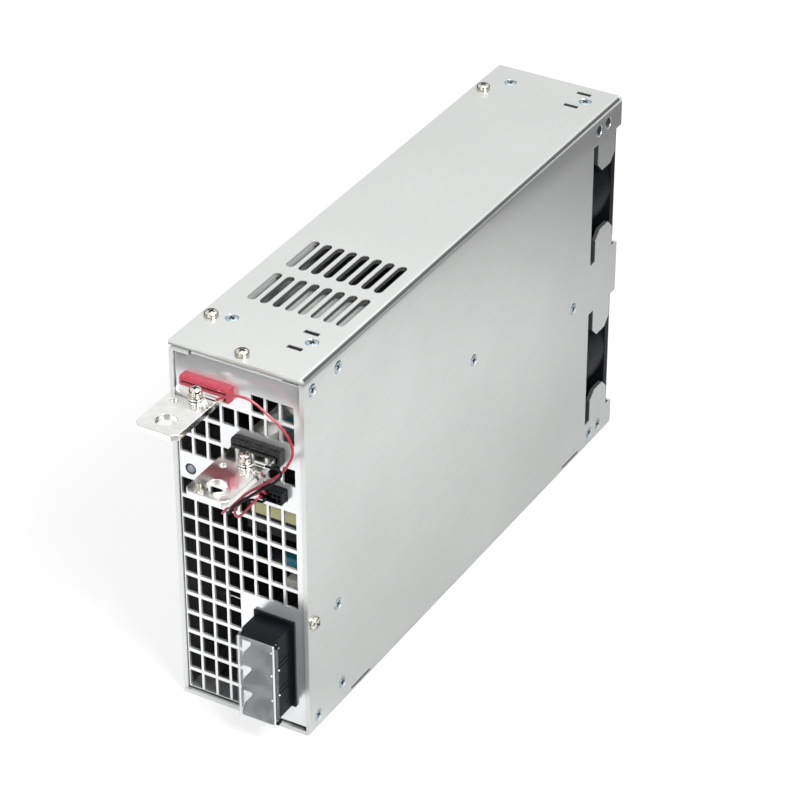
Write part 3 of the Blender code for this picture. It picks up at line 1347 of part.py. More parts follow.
def mains_cover(finish):
    """Clear cover over the block's front and slant; its origin lies on the hinge axis."""
    rim_low = BLOCK_LOW + HINGE_EAR_HEIGHT + FIT_GAP - BLOCK_CENTRE[1]
    rim_high = BLOCK_HIGH - HINGE_EAR_HEIGHT - FIT_GAP - BLOCK_CENTRE[1]
    inner = -HINGE_BACK - COVER_GAP
    outer = inner - COVER_SHEET
    right = COVER_SHEET / 2
    near_corner, near_end = cover_slant(COVER_GAP)
    far_corner, far_end = cover_slant(COVER_GAP + COVER_SHEET)
    left = far_corner[0]
    section = [
        far_corner, (right, outer), (right, COVER_RIM_BACK), (right - COVER_SHEET, COVER_RIM_BACK),
        (right - COVER_SHEET, inner), near_corner, near_end, far_end,
    ]
    made = solid("mains_terminal_cover", prism(section, "Z", rim_low, rim_high), finish)
    plate = bmesh.new()
    half = BLOCK_HEIGHT / 2 + COVER_MARGIN
    inset = 0.02 * MM
    for z_range in ((-half, rim_low + 1.0 * MM), (rim_high - 1.0 * MM, half)):
        add_box(plate, (left + inset, right - inset), (outer + inset, inner - inset), z_range)
    weld(made, plate, "plate_ends")
    pins = bmesh.new()
    pin_end = BLOCK_HEIGHT / 2 - 0.2 * MM
    for z_range in ((-pin_end, rim_low + 1.0 * MM), (rim_high - 1.0 * MM, pin_end)):
        add_prism(pins, circle((0.0, 0.0), HINGE_PIN_RADIUS, SOME_SIDES), "Z", *z_range)
    weld(made, pins, "pins")
    return place(made, (HINGE_X, HINGE_Y, BLOCK_CENTRE[1]))


def main_board(finish):
    """Circuit board along the chassis wall, with threaded posts that reach the wall."""
    y_range = (PANEL_BACK + PANEL_FLANGE, BOARD_REAR)
    z_range = (BOARD_MARGIN, CASE_HEIGHT - BOARD_MARGIN)
    made = solid("main_board", box((BOARD_FACE, BOARD_FACE + BOARD_THICKNESS), y_range, z_range), finish)
    posts = bmesh.new()
    for place_yz in BOARD_SCREWS.values():
        add_prism(posts, circle(place_yz, POST_RADIUS, FEW_SIDES), "X",
                  BOARD_FACE + BOARD_THICKNESS / 2, INNER_RIGHT - FIT_GAP)
    weld(made, posts, "posts")
    bores = bmesh.new()
    for place_yz in BOARD_SCREWS.values():
        add_prism(bores, circle(place_yz, SCREW_HOLE_RADIUS, FEW_SIDES), "X", BOARD_FACE - SHEET, RIGHT)
    cut(made, bores, "bores")
    return made


def bulk_capacitor(name, finish, y):
    """Snap-in electrolytic can lying across the case, with its crimp groove."""
    low = BOARD_FACE - FIT_GAP - CAPACITOR_LENGTH
    high = BOARD_FACE - FIT_GAP
    groove = CAPACITOR_RADIUS - CAPACITOR_CREASE
    profile = [
        (0.0, low),
        (CAPACITOR_RADIUS - CAPACITOR_CREASE, low),
        (CAPACITOR_RADIUS, low + CAPACITOR_CREASE),
        (CAPACITOR_RADIUS, high - CAPACITOR_CRIMP - CAPACITOR_CREASE),
        (groove, high - CAPACITOR_CRIMP),
        (CAPACITOR_RADIUS, high - CAPACITOR_CRIMP + CAPACITOR_CREASE),
        (CAPACITOR_RADIUS, high),
        (0.0, high),
    ]
    return solid(name, turned(profile, "X", (y, CAPACITOR_Z), MANY_SIDES), finish, smooth=True)


def transformer(core_finish, tape_finish):
    """Ferrite core with the taped winding through its window."""
    right = BOARD_FACE - FIT_GAP
    left = right - CORE_WIDTH
    core = solid("transformer_core",
                 box((left, right), (TRANSFORMER_Y[0] + WINDING_OVERHANG,
                                          TRANSFORMER_Y[1] - WINDING_OVERHANG), TRANSFORMER_Z),
                 core_finish)
    window = box((left + CORE_LEG, right - CORE_LEG),
                 (TRANSFORMER_Y[0] - SHEET, TRANSFORMER_Y[1] + SHEET), WINDOW_Z)
    cut(core, window, "window")
    outline = rounded_rectangle(TRANSFORMER_Y[0], TRANSFORMER_Y[1], WINDOW_Z[0] + FIT_GAP,
                                WINDOW_Z[1] - FIT_GAP, 1.5 * MM, steps=2)
    solid("transformer_winding",
          prism(outline, "X", left + CORE_LEG + FIT_GAP, right - CORE_LEG - FIT_GAP), tape_finish)


def choke(name, finish, place_yz, sizes):
    """Wound toroid lying against the board; sizes are its outer and inner radius and its height."""
    outer, inner, height = sizes
    high = BOARD_FACE - FIT_GAP
    low = high - height
    soft = height * 0.2
    profile = [
        (inner, low + soft), (inner + soft, low), (outer - soft, low), (outer, low + soft),
        (outer, high - soft), (outer - soft, high), (inner + soft, high), (inner, high - soft),
    ]
    return solid(name, turned(profile, "X", place_yz, MANY_SIDES), finish, smooth=True)


def switch_heatsink(finish):
    """Finned extrusion along the case, standing on the board."""
    right = BOARD_FACE - FIT_GAP
    base_left = right - HEATSINK_BASE
    outline = [(right, HEATSINK_Z)]
    height = (HEATSINK_FINS - 1) * HEATSINK_PITCH + HEATSINK_FIN
    outline.append((right, HEATSINK_Z + height))
    for index in reversed(range(HEATSINK_FINS)):
        low = HEATSINK_Z + index * HEATSINK_PITCH
        outline.append((right - HEATSINK_REACH, low + HEATSINK_FIN))
        outline.append((right - HEATSINK_REACH, low))
        if index:
            outline.append((base_left, low))
            outline.append((base_left, low - HEATSINK_PITCH + HEATSINK_FIN))
    return solid("switch_heatsink", prism(outline, "Y", *HEATSINK_Y), finish)


def output_heatsink(finish):
    """Aluminium spreader plate just under the top sheet, screwed to it and to the side wall."""
    high = INNER_TOP - OUTPUT_PLATE_DROP
    right = INNER_RIGHT - FIT_GAP
    front, step_y, back = PLATE_Y
    outline = [
        (PLATE_X[0], front), (right, front), (right, back),
        (PLATE_X[1], back), (PLATE_X[1], step_y), (PLATE_X[0], step_y),
    ]
    made = solid("output_heatsink", prism(outline, "Z", high - OUTPUT_PLATE, high), finish)
    lip = bmesh.new()
    y, z = SIDE_SCREWS["side_screw_plate_top"]
    inset = 0.05 * MM
    add_box(lip, (right - OUTPUT_PLATE, right - inset), (front + inset, back - inset),
            (z - PLATE_LIP, high - inset))
    bosses = bmesh.new()
    for name in ("top_front_screw_left", "top_front_screw_right"):
        add_prism(bosses, circle(TOP_SCREWS[name], POST_RADIUS, SOME_SIDES), "Z",
                  high - OUTPUT_PLATE / 2, INNER_TOP - FIT_GAP)
    weld(made, lip, "lip")
    weld(made, bosses, "bosses")
    bores = bmesh.new()
    for name in ("top_front_screw_left", "top_front_screw_right"):
        add_prism(bores, circle(TOP_SCREWS[name], SCREW_HOLE_RADIUS, FEW_SIDES), "Z", high - 2 * OUTPUT_PLATE,
                  CASE_HEIGHT)
    add_prism(bores, circle((y, z), SCREW_HOLE_RADIUS, FEW_SIDES), "X", right - 2 * OUTPUT_PLATE, RIGHT)
    cut(made, bores, "bores")
    return made


def build_case(looks):
    chassis_shell(looks["zinc"])
    side_cover(looks["zinc"])
    front_panel(looks["panel"])
    rear_panel(looks["zinc"])
    for name, (x, y) in TOP_SCREWS.items():
        countersunk_screw(name, looks["blue_zinc"], (x, y, CASE_HEIGHT), (0, 0, 1))
    for name, (x, y) in TOP_PAN_SCREWS.items():
        pan_screw(name, looks["nickel"], (x, y, CASE_HEIGHT), (0, 0, 1))
    for name, (y, z) in (*SIDE_SCREWS.items(), *BOARD_SCREWS.items()):
        countersunk_screw(name, looks["blue_zinc"], (RIGHT, y, z), (1, 0, 0))
    for name, (y, z) in SIDE_PAN_SCREWS.items():
        pan_screw(name, looks["nickel"], (RIGHT, y, z), (1, 0, 0))


def build_fans(looks):
    middle_y = (FAN_FRONT + FAN_BACK) / 2
    for level, height in FAN_HEIGHTS.items():
        axle = bpy.data.objects.new(f"{level}_fan_axis", None)
        bpy.context.scene.collection.objects.link(axle)
        axle.location = (0.0, middle_y, height)
        fan_frame(f"{level}_fan_frame", looks["black"]).parent = axle
        fan_rotor(f"{level}_fan_rotor", looks["black"]).parent = axle
        guard = finger_guard(f"{level}_finger_guard", looks["chrome"])
        guard.location = (0.0, REAR_INSIDE - middle_y, 0.0)
        guard.parent = axle


def build_terminals(looks):
    for pole, bar in BARS.items():
        bus_bar(f"{pole}_busbar", looks["tin"], bar)
        collar = looks["red"] if pole == "positive" else looks["black"]
        insulator(f"{pole}_insulator", collar, bar)
        sense_screw(f"{pole}_sense_screw", looks["nickel"], bar)
        sense_lug(f"{pole}_sense_lug", looks["tin"], bar)
    sense_wires(looks["red"], looks["black"])
    signal_connector(looks["black"])
    status_lamp(looks["lens"])
    mains_block(looks["black"])
    for number, z in enumerate(pole_heights(), start=1):
        mains_contact(f"mains_contact_{number}", looks["tin"], z)
        mains_screw(f"mains_screw_{number}", looks["nickel"], z)
    mains_cover(looks["clear"])


def build_inside(looks):
    main_board(looks["board"])
    bulk_capacitor("bulk_capacitor_front", looks["sleeve"], FRONT_CAPACITOR_Y)
    bulk_capacitor("bulk_capacitor_rear", looks["sleeve"], REAR_CAPACITOR_Y)
    transformer(looks["ferrite"], looks["tape"])
    choke("boost_choke", looks["copper"], BOOST_CHOKE_PLACE, BOOST_CHOKE)
    choke("filter_choke", looks["copper"], FILTER_CHOKE_PLACE, FILTER_CHOKE)
    switch_heatsink(looks["aluminium"])
    output_heatsink(looks["aluminium"])


def main():
    clear_scene()
    looks = {
        "zinc": look("galvanised_sheet", (0.72, 0.74, 0.73), 0.38, 0.85),
        "panel": look("panel_sheet", (0.80, 0.81, 0.82), 0.28, 0.85),
        "blue_zinc": look("blue_zinc_screw", (0.55, 0.66, 0.72), 0.3, 1.0),
        "nickel": look("nickel_screw", (0.75, 0.73, 0.68), 0.2, 1.0),
        "chrome": look("guard_wire", (0.7, 0.7, 0.7), 0.2, 1.0),
        "tin": look("tinned_copper", (0.83, 0.81, 0.75), 0.22, 1.0),
        "red": look("red_plastic", (0.72, 0.05, 0.09), 0.4),
        "black": look("black_plastic", (0.025, 0.025, 0.03), 0.5),
        "clear": look("clear_plastic", (0.8, 0.82, 0.83), 0.1, 0.0, 0.3),
        "lens": look("lamp_lens", (0.6, 0.64, 0.68), 0.15),
        "board": look("board_laminate", (0.04, 0.16, 0.09), 0.5),
        "sleeve": look("capacitor_sleeve", (0.03, 0.05, 0.09), 0.4),
        "ferrite": look("ferrite", (0.06, 0.06, 0.06), 0.7),
        "tape": look("winding_tape", (0.82, 0.78, 0.25), 0.4),
        "copper": look("enamelled_copper", (0.45, 0.2, 0.08), 0.35, 0.6),
        "aluminium": look("aluminium", (0.78, 0.79, 0.79), 0.35, 1.0),
    }
    build_case(looks)
    build_fans(looks)
    build_terminals(looks)
    build_inside(looks)
    bpy.context.view_layer.update()


main()
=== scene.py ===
"""Looks of the enclosed power supply: studio, finishes, rounded sheet edges and small hardware."""
import json
import math

import bmesh
import bpy
from mathutils import Matrix, Vector


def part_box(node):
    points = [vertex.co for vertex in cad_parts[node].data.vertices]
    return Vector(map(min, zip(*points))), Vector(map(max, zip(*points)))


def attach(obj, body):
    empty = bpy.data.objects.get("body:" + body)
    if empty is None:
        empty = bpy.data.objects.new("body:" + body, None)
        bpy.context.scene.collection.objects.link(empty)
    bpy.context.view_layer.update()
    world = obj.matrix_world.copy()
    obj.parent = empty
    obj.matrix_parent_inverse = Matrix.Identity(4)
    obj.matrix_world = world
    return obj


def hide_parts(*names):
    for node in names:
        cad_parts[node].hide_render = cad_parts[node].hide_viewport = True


MM = 0.001

# Camera: place in metres, angles in degrees
CAMERA_PLACE = (0.60796, -1.05735, 0.87022)
CAMERA_AZIMUTH = 30.0938
CAMERA_ELEVATION = 32.8980
CAMERA_ROLL = -0.1236
CAMERA_LENS = 147.35

# Lamps: name, place, side in metres, power in watts, colour
LAMP_AIM = (0, 0, 0.08)
LAMPS = (
    ("key", (1.25, -0.65, 1.5), 0.7, 44.0, (1.0, 1.0, 1.0)),
    ("front", (0.1, -1.9, 0.8), 1.8, 11.0, (1.0, 0.99, 0.97)),
    ("top", (0.0, 0.6, 2.0), 1.8, 9.0, (1.0, 1.0, 1.0)),
)

# World: strengths, height of the mirrored ceiling and spread of the black flag
WORLD_LIGHT = 0.50
CEILING = 0.92
CEILING_FROM = 0.16
CEILING_FULL = 0.46
HORIZON = 0.05
FLAG_SIDE = (0.42, -0.73, 0.54)
FLAG_FROM = 0.80
FLAG_FULL = 0.93

# Floor: its size, and the pools of light that metal mirrors in it, as directions, distances and strengths
FLOOR_REACH = 6.0
FLOOR_DROP = 0.4 * MM
DARK_SIDE = (0.5, -0.87, 0.0)
DARK_FROM = 0.28
DARK_FULL = 0.37
POOL_CENTRE = (-0.08, -0.12, 0.0)
POOL_NEAR = 0.34
POOL_FAR = 0.64
REAR_SIDE = (0.5, 0.87, 0.0)
FRONT_POOL = (-0.15, -0.06, 0.62, 0.0)
SIDE_POOL = (0.04, 0.16, 0.16, 0.50)
FLOOR_GLOW = 0.72
FLOOR_GLOW_FAR = 1.0
FLOOR_COLOUR = 0.30
FLOOR_COLOUR_FAR = 0.05

# Curl of the sheets below their top edge: start height, reach, slope and how much more at the rear
SHEET_ROLLS = ((0.1587, 0.018, 0.32, 0.85), (0.1727, 0.0040, 0.42, 0.6))
PANEL_ROLLS = ((0.148, 0.029, 0.42, 0.0),)
ROLL_FROM_Y = -0.02
ROLL_FULL_Y = 0.15

# Where a case sheet counts as inside the case and takes painted shade, and the part of the left wall below
# the vents that is kept out of that painted shade
END_MARGIN = 1.2 * MM
INSIDE_FROM = 0.12 * MM
INSIDE_FULL = 0.45 * MM
VENTS_Z = (0.135, 0.15)
VENTS_X = (-0.020, -0.024)


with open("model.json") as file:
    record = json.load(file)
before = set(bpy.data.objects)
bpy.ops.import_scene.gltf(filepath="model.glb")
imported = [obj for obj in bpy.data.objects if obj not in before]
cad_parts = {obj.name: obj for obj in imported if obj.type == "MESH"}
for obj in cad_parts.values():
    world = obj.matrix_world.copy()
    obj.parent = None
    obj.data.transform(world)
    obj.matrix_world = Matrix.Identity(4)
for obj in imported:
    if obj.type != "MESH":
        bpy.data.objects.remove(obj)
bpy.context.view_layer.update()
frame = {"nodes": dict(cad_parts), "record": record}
nodes = frame["nodes"]
bodies = {node: body for body, group in frame["record"]["behaviour"]["bodies"].items() for node in group}
slots = {part["node"]: part["material_slot"] for part in frame["record"]["subparts"]}
boxes = {name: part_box(name) for name in nodes}


def span(node, axis):
    low, high = boxes[node]
    return low[axis], high[axis]


def case_corner():
    """The case's right, front and top limits."""
    return span("chassis_shell", 0)[1], span("chassis_shell", 1)[0], span("chassis_shell", 2)[1]


def middle(node):
    low, high = boxes[node]
    return (Vector(low) + Vector(high)) / 2


# Camera, lamps, world and floor

def linked(name, data):
    """A new object in the scene."""
    made = bpy.data.objects.new(name, data)
    bpy.context.scene.collection.objects.link(made)
    return made


def make_camera():
    data = bpy.data.cameras.new("camera")
    data.lens = CAMERA_LENS
    data.sensor_width = 36.0
    data.clip_end = 20.0
    camera = linked("camera", data)
    turn = Matrix.Rotation(math.radians(CAMERA_AZIMUTH), 4, "Z")
    tilt = Matrix.Rotation(math.radians(90.0 - CAMERA_ELEVATION), 4, "X")
    roll = Matrix.Rotation(math.radians(CAMERA_ROLL), 4, "Z")
    camera.matrix_world = Matrix.Translation(CAMERA_PLACE) @ turn @ tilt @ roll
    bpy.context.scene.camera = camera


def area_lamp(name, place, side, power, colour):
    """Square lamp that faces the object."""
    data = bpy.data.lights.new(name, "AREA")
    data.shape = "RECTANGLE"
    data.size = data.size_y = side
    data.energy = power
    data.color = colour
    lamp = linked(name, data)
    lamp.location = place
    lamp.rotation_mode = "QUATERNION"
    lamp.rotation_quaternion = (Vector(LAMP_AIM) - Vector(place)).to_track_quat("-Z", "Y")


def math_node(tree, operation, first, second, third=None):
    """A Math node fed by sockets or plain numbers."""
    made = tree.nodes.new("ShaderNodeMath")
    made.operation = operation
    for index, value in enumerate((first, second, third)):
        if value is None:
            continue
        if isinstance(value, (int, float)):
            made.inputs[index].default_value = value
        else:
            tree.links.new(value, made.inputs[index])
    return made.outputs[0]


def background(tree, colour, strength):
    made = tree.nodes.new("ShaderNodeBackground")
    made.inputs["Color"].default_value = (*colour, 1.0)
    made.inputs["Strength"].default_value = strength
    return made.outputs[0]


def split(tree, vector):
    """The X, Y and Z sockets of a vector."""
    made = tree.nodes.new("ShaderNodeSeparateXYZ")
    tree.links.new(vector, made.inputs[0])
    return made.outputs


def vector_number(tree, operation, vector, other):
    """A number made from two vectors, such as their distance."""
    made = tree.nodes.new("ShaderNodeVectorMath")
    made.operation = operation
    made.inputs[1].default_value = other
    tree.links.new(vector, made.inputs[0])
    return made.outputs["Value"]


def mixed(tree, share, first, second):
    """A Mix Shader of two shaders."""
    made = tree.nodes.new("ShaderNodeMixShader")
    for index, socket in enumerate((share, first, second)):
        tree.links.new(socket, made.inputs[index])
    return made.outputs[0]


def seen_directly(tree, rays):
    """1 for the camera and for what is seen through clear pieces."""
    return math_node(tree, "MAXIMUM", rays["Is Camera Ray"], rays["Is Transmission Ray"])


def smooth_share(tree, value, start, full, low=0.0, high=1.0):
    """A socket that goes smoothly from low to high while the value goes from start to full."""
    made = tree.nodes.new("ShaderNodeMapRange")
    made.interpolation_type = "SMOOTHSTEP"
    for name, number in (("From Min", start), ("From Max", full), ("To Min", low), ("To Max", high)):
        made.inputs[name].default_value = number
    tree.links.new(value, made.inputs["Value"])
    return made.outputs[0]


def make_world():
    """White to the camera; metal mirrors a bright ceiling, a dark horizon and a black flag."""
    world = bpy.data.worlds.new("studio")
    bpy.context.scene.world = world
    world.use_nodes = True
    tree = world.node_tree
    tree.nodes.clear()
    direction = tree.nodes.new("ShaderNodeTexCoord").outputs["Generated"]
    towards = vector_number(tree, "DOT_PRODUCT", direction, FLAG_SIDE)
    open_sky = smooth_share(tree, towards, FLAG_FROM, FLAG_FULL, 1.0, 0.0)
    lit = smooth_share(tree, split(tree, direction)["Z"], CEILING_FROM, CEILING_FULL)
    ceiling = background(tree, (1.0, 1.0, 1.0), CEILING)
    dark = background(tree, (0.9, 0.95, 1.0), HORIZON)
    mirrored = mixed(tree, math_node(tree, "MULTIPLY", lit, open_sky), dark, ceiling)
    rays = tree.nodes.new("ShaderNodeLightPath").outputs
    room = background(tree, (0.97, 0.985, 1.0), WORLD_LIGHT)
    shiny = mixed(tree, rays["Is Glossy Ray"], room, mirrored)
    whole = mixed(tree, seen_directly(tree, rays), shiny, background(tree, (1.0, 1.0, 1.0), 1.0))
    tree.links.new(whole, tree.nodes.new("ShaderNodeOutputWorld").inputs["Surface"])


def make_floor():
    """Pale floor that takes the object's shadow, white to the camera, with a pool of light in reflections."""
    mesh = bpy.data.meshes.new("floor")
    corners = ((-1, -1), (1, -1), (1, 1), (-1, 1))
    mesh.from_pydata([(x * FLOOR_REACH, y * FLOOR_REACH, 0) for x, y in corners], [], [(0, 1, 2, 3)])
    floor = linked("floor", mesh)
    floor.location.z = -FLOOR_DROP
    paint = bpy.data.materials.new("floor")
    paint.use_nodes = True
    tree = paint.node_tree
    tree.nodes.clear()
    place = tree.nodes.new("ShaderNodeTexCoord").outputs["Object"]
    distance = vector_number(tree, "DISTANCE", place, POOL_CENTRE)

    def outwards(near, far):
        """A value that changes between the pool's two radii."""
        return smooth_share(tree, distance, POOL_NEAR, POOL_FAR, near, far)

    rays = tree.nodes.new("ShaderNodeLightPath").outputs
    shown = math_node(tree, "MULTIPLY", seen_directly(tree, rays), outwards(FLOOR_GLOW, FLOOR_GLOW_FAR))
    beyond = vector_number(tree, "DOT_PRODUCT", place, REAR_SIDE)
    pools = math_node(tree, "ADD", smooth_share(tree, beyond, *FRONT_POOL),
                      smooth_share(tree, split(tree, place)["X"], *SIDE_POOL))
    across = vector_number(tree, "DOT_PRODUCT", place, DARK_SIDE)
    pool = math_node(tree, "MULTIPLY", math_node(tree, "MULTIPLY", pools, outwards(1.0, 0.0)),
                     smooth_share(tree, across, DARK_FROM, DARK_FULL, 1.0, 0.0))
    mirrored = math_node(tree, "MULTIPLY", rays["Is Glossy Ray"], pool)
    glow = tree.nodes.new("ShaderNodeEmission")
    tree.links.new(math_node(tree, "ADD", shown, mirrored), glow.inputs["Strength"])
    matte = tree.nodes.new("ShaderNodeBsdfDiffuse")
    tree.links.new(outwards(FLOOR_COLOUR, FLOOR_COLOUR_FAR), matte.inputs["Color"])
    both = tree.nodes.new("ShaderNodeAddShader")
    tree.links.new(matte.outputs[0], both.inputs[0])
    tree.links.new(glow.outputs[0], both.inputs[1])
    tree.links.new(both.outputs[0], tree.nodes.new("ShaderNodeOutputMaterial").inputs["Surface"])
    mesh.materials.append(paint)


# Materials

def bumped(tree, height, distance, strength, under=None):
    """Bump node over an earlier normal."""
    made = tree.nodes.new("ShaderNodeBump")
    made.inputs["Strength"].default_value = strength
    made.inputs["Distance"].default_value = distance
    tree.links.new(height, made.inputs["Height"])
    if under is not None:
        tree.links.new(under, made.inputs["Normal"])
    return made.outputs["Normal"]


def rolled_edge(tree, place, start, reach, slope, rear_share):
    """Height of a sheet that curls in over a reach below its top edge, more so towards the rear."""
    _, y, z = split(tree, place)
    above = math_node(tree, "MAXIMUM", math_node(tree, "SUBTRACT", z, start), 0.0)
    above = math_node(tree, "MINIMUM", above, reach)
    share = math_node(tree, "POWER", math_node(tree, "DIVIDE", above, reach), 3.0)
    rear = smooth_share(tree, y, ROLL_FROM_Y, ROLL_FULL_Y, 1.0 - rear_share, 1.0)
    fall = math_node(tree, "MULTIPLY", share, rear)
    return math_node(tree, "MULTIPLY", fall, -slope * reach / 3)


def inside_shade_masks(tree, place):
    """Shares of a case sheet that are inside, and inside but away from the vents: the masks of the painted
    shade inside the case.
    """
    low, high = boxes["chassis_shell"]
    x, y, z = split(tree, place)
    depths = (
        math_node(tree, "SUBTRACT", high[0], x),
        math_node(tree, "SUBTRACT", x, span("side_cover", 0)[0]),
        math_node(tree, "SUBTRACT", high[2], z),
        math_node(tree, "SUBTRACT", z, low[2]),
        math_node(tree, "SUBTRACT", y, low[1] + END_MARGIN),
        math_node(tree, "SUBTRACT", high[1] - END_MARGIN, y),
    )
    depth = depths[0]
    for other in depths[1:]:
        depth = math_node(tree, "MINIMUM", depth, other)
    deep = smooth_share(tree, depth, INSIDE_FROM, INSIDE_FULL)
    near_vents = math_node(tree, "MULTIPLY", smooth_share(tree, z, *VENTS_Z), smooth_share(tree, x, *VENTS_X))
    return deep, math_node(tree, "MULTIPLY", deep, math_node(tree, "SUBTRACT", 1.0, near_vents))


def surface(name, colour, second, roughness, metallic=0.0, grain=400, grain_depth=0.15,
            bump=0.1, bump_depth=0.02, blotch=30.0, rough_spread=0.08, coat=0.0, alpha=1.0, specular=0.5,
            wave=0.0, wave_scale=60.0, rolls=(), veil=0.0, inner=0.0):
    """Two colours mixed by fine grain and broad blotches; grain is one number or one for each axis."""
    made = bpy.data.materials.new(name)
    made.use_nodes = True
    tree = made.node_tree
    shader = tree.nodes["Principled BSDF"]
    shader.inputs["Metallic"].default_value = metallic
    shader.inputs["Coat Weight"].default_value = coat
    shader.inputs["Alpha"].default_value = alpha
    shader.inputs["Specular IOR Level"].default_value = specular
    place = tree.nodes.new("ShaderNodeTexCoord")
    stretch = tree.nodes.new("ShaderNodeMapping")
    stretch.inputs["Scale"].default_value = grain if isinstance(grain, tuple) else [grain] * 3
    tree.links.new(place.outputs["Object"], stretch.inputs["Vector"])
    fine = tree.nodes.new("ShaderNodeTexNoise")
    fine.inputs["Scale"].default_value = 1.0
    fine.inputs["Detail"].default_value = 3.0
    tree.links.new(stretch.outputs["Vector"], fine.inputs["Vector"])
    broad = tree.nodes.new("ShaderNodeTexNoise")
    broad.inputs["Scale"].default_value = blotch
    broad.inputs["Detail"].default_value = 2.0
    tree.links.new(place.outputs["Object"], broad.inputs["Vector"])
    share = math_node(tree, "MULTIPLY", broad.outputs["Fac"], 1.0 - grain_depth)
    spread = tree.nodes.new("ShaderNodeMapRange")
    spread.inputs["From Min"].default_value = 0.35
    spread.inputs["From Max"].default_value = 0.65
    tree.links.new(math_node(tree, "MULTIPLY_ADD", fine.outputs["Fac"], grain_depth, share),
                   spread.inputs["Value"])
    mix = tree.nodes.new("ShaderNodeMix")
    mix.data_type = "RGBA"
    mix.inputs["A"].default_value = (*colour, 1.0)
    mix.inputs["B"].default_value = (*second, 1.0)
    tree.links.new(spread.outputs[0], mix.inputs["Factor"])
    tone = mix.outputs["Result"]
    # Painted shade: inside the case the colour is scaled down to the inner share of itself, except below the
    # vents, and the metallic falls to a fifth, standing for the shade inside the case.
    if inner:
        deep, painted_shade_mask = inside_shade_masks(tree, place.outputs["Object"])
        painted_shade_scale = tree.nodes.new("ShaderNodeVectorMath")
        painted_shade_scale.operation = "SCALE"
        tree.links.new(tone, painted_shade_scale.inputs[0])
        tree.links.new(math_node(tree, "MULTIPLY_ADD", painted_shade_mask, inner - 1.0, 1.0), painted_shade_scale.inputs["Scale"])
        tone = painted_shade_scale.outputs[0]
        tree.links.new(math_node(tree, "MULTIPLY_ADD", deep, -0.8 * metallic, metallic),
                       shader.inputs["Metallic"])
    tree.links.new(tone, shader.inputs["Base Color"])
    rough = tree.nodes.new("ShaderNodeMapRange")
    rough.inputs["From Min"].default_value = 0.3
    rough.inputs["From Max"].default_value = 0.7
    rough.inputs["To Min"].default_value = max(0.02, roughness - rough_spread)
    rough.inputs["To Max"].default_value = roughness + rough_spread
    tree.links.new(fine.outputs["Fac"], rough.inputs["Value"])
    tree.links.new(rough.outputs[0], shader.inputs["Roughness"])
    normal = None
    for edge in rolls:
        normal = bumped(tree, rolled_edge(tree, place.outputs["Object"], *edge), 1.0, 1.0, normal)
    if wave:
        swell = tree.nodes.new("ShaderNodeTexNoise")
        swell.inputs["Scale"].default_value = wave_scale
        tree.links.new(place.outputs["Object"], swell.inputs["Vector"])
        normal = bumped(tree, swell.outputs["Fac"], wave * MM, 1.0, normal)
    normal = bumped(tree, fine.outputs["Fac"], bump_depth * MM, bump, normal)
    tree.links.new(normal, shader.inputs["Normal"])
    if veil:
        cloudy = smooth_share(tree, broad.outputs["Fac"], 0.35, 0.65, alpha - veil, alpha + veil)
        tree.links.new(cloudy, shader.inputs["Alpha"])
    return made


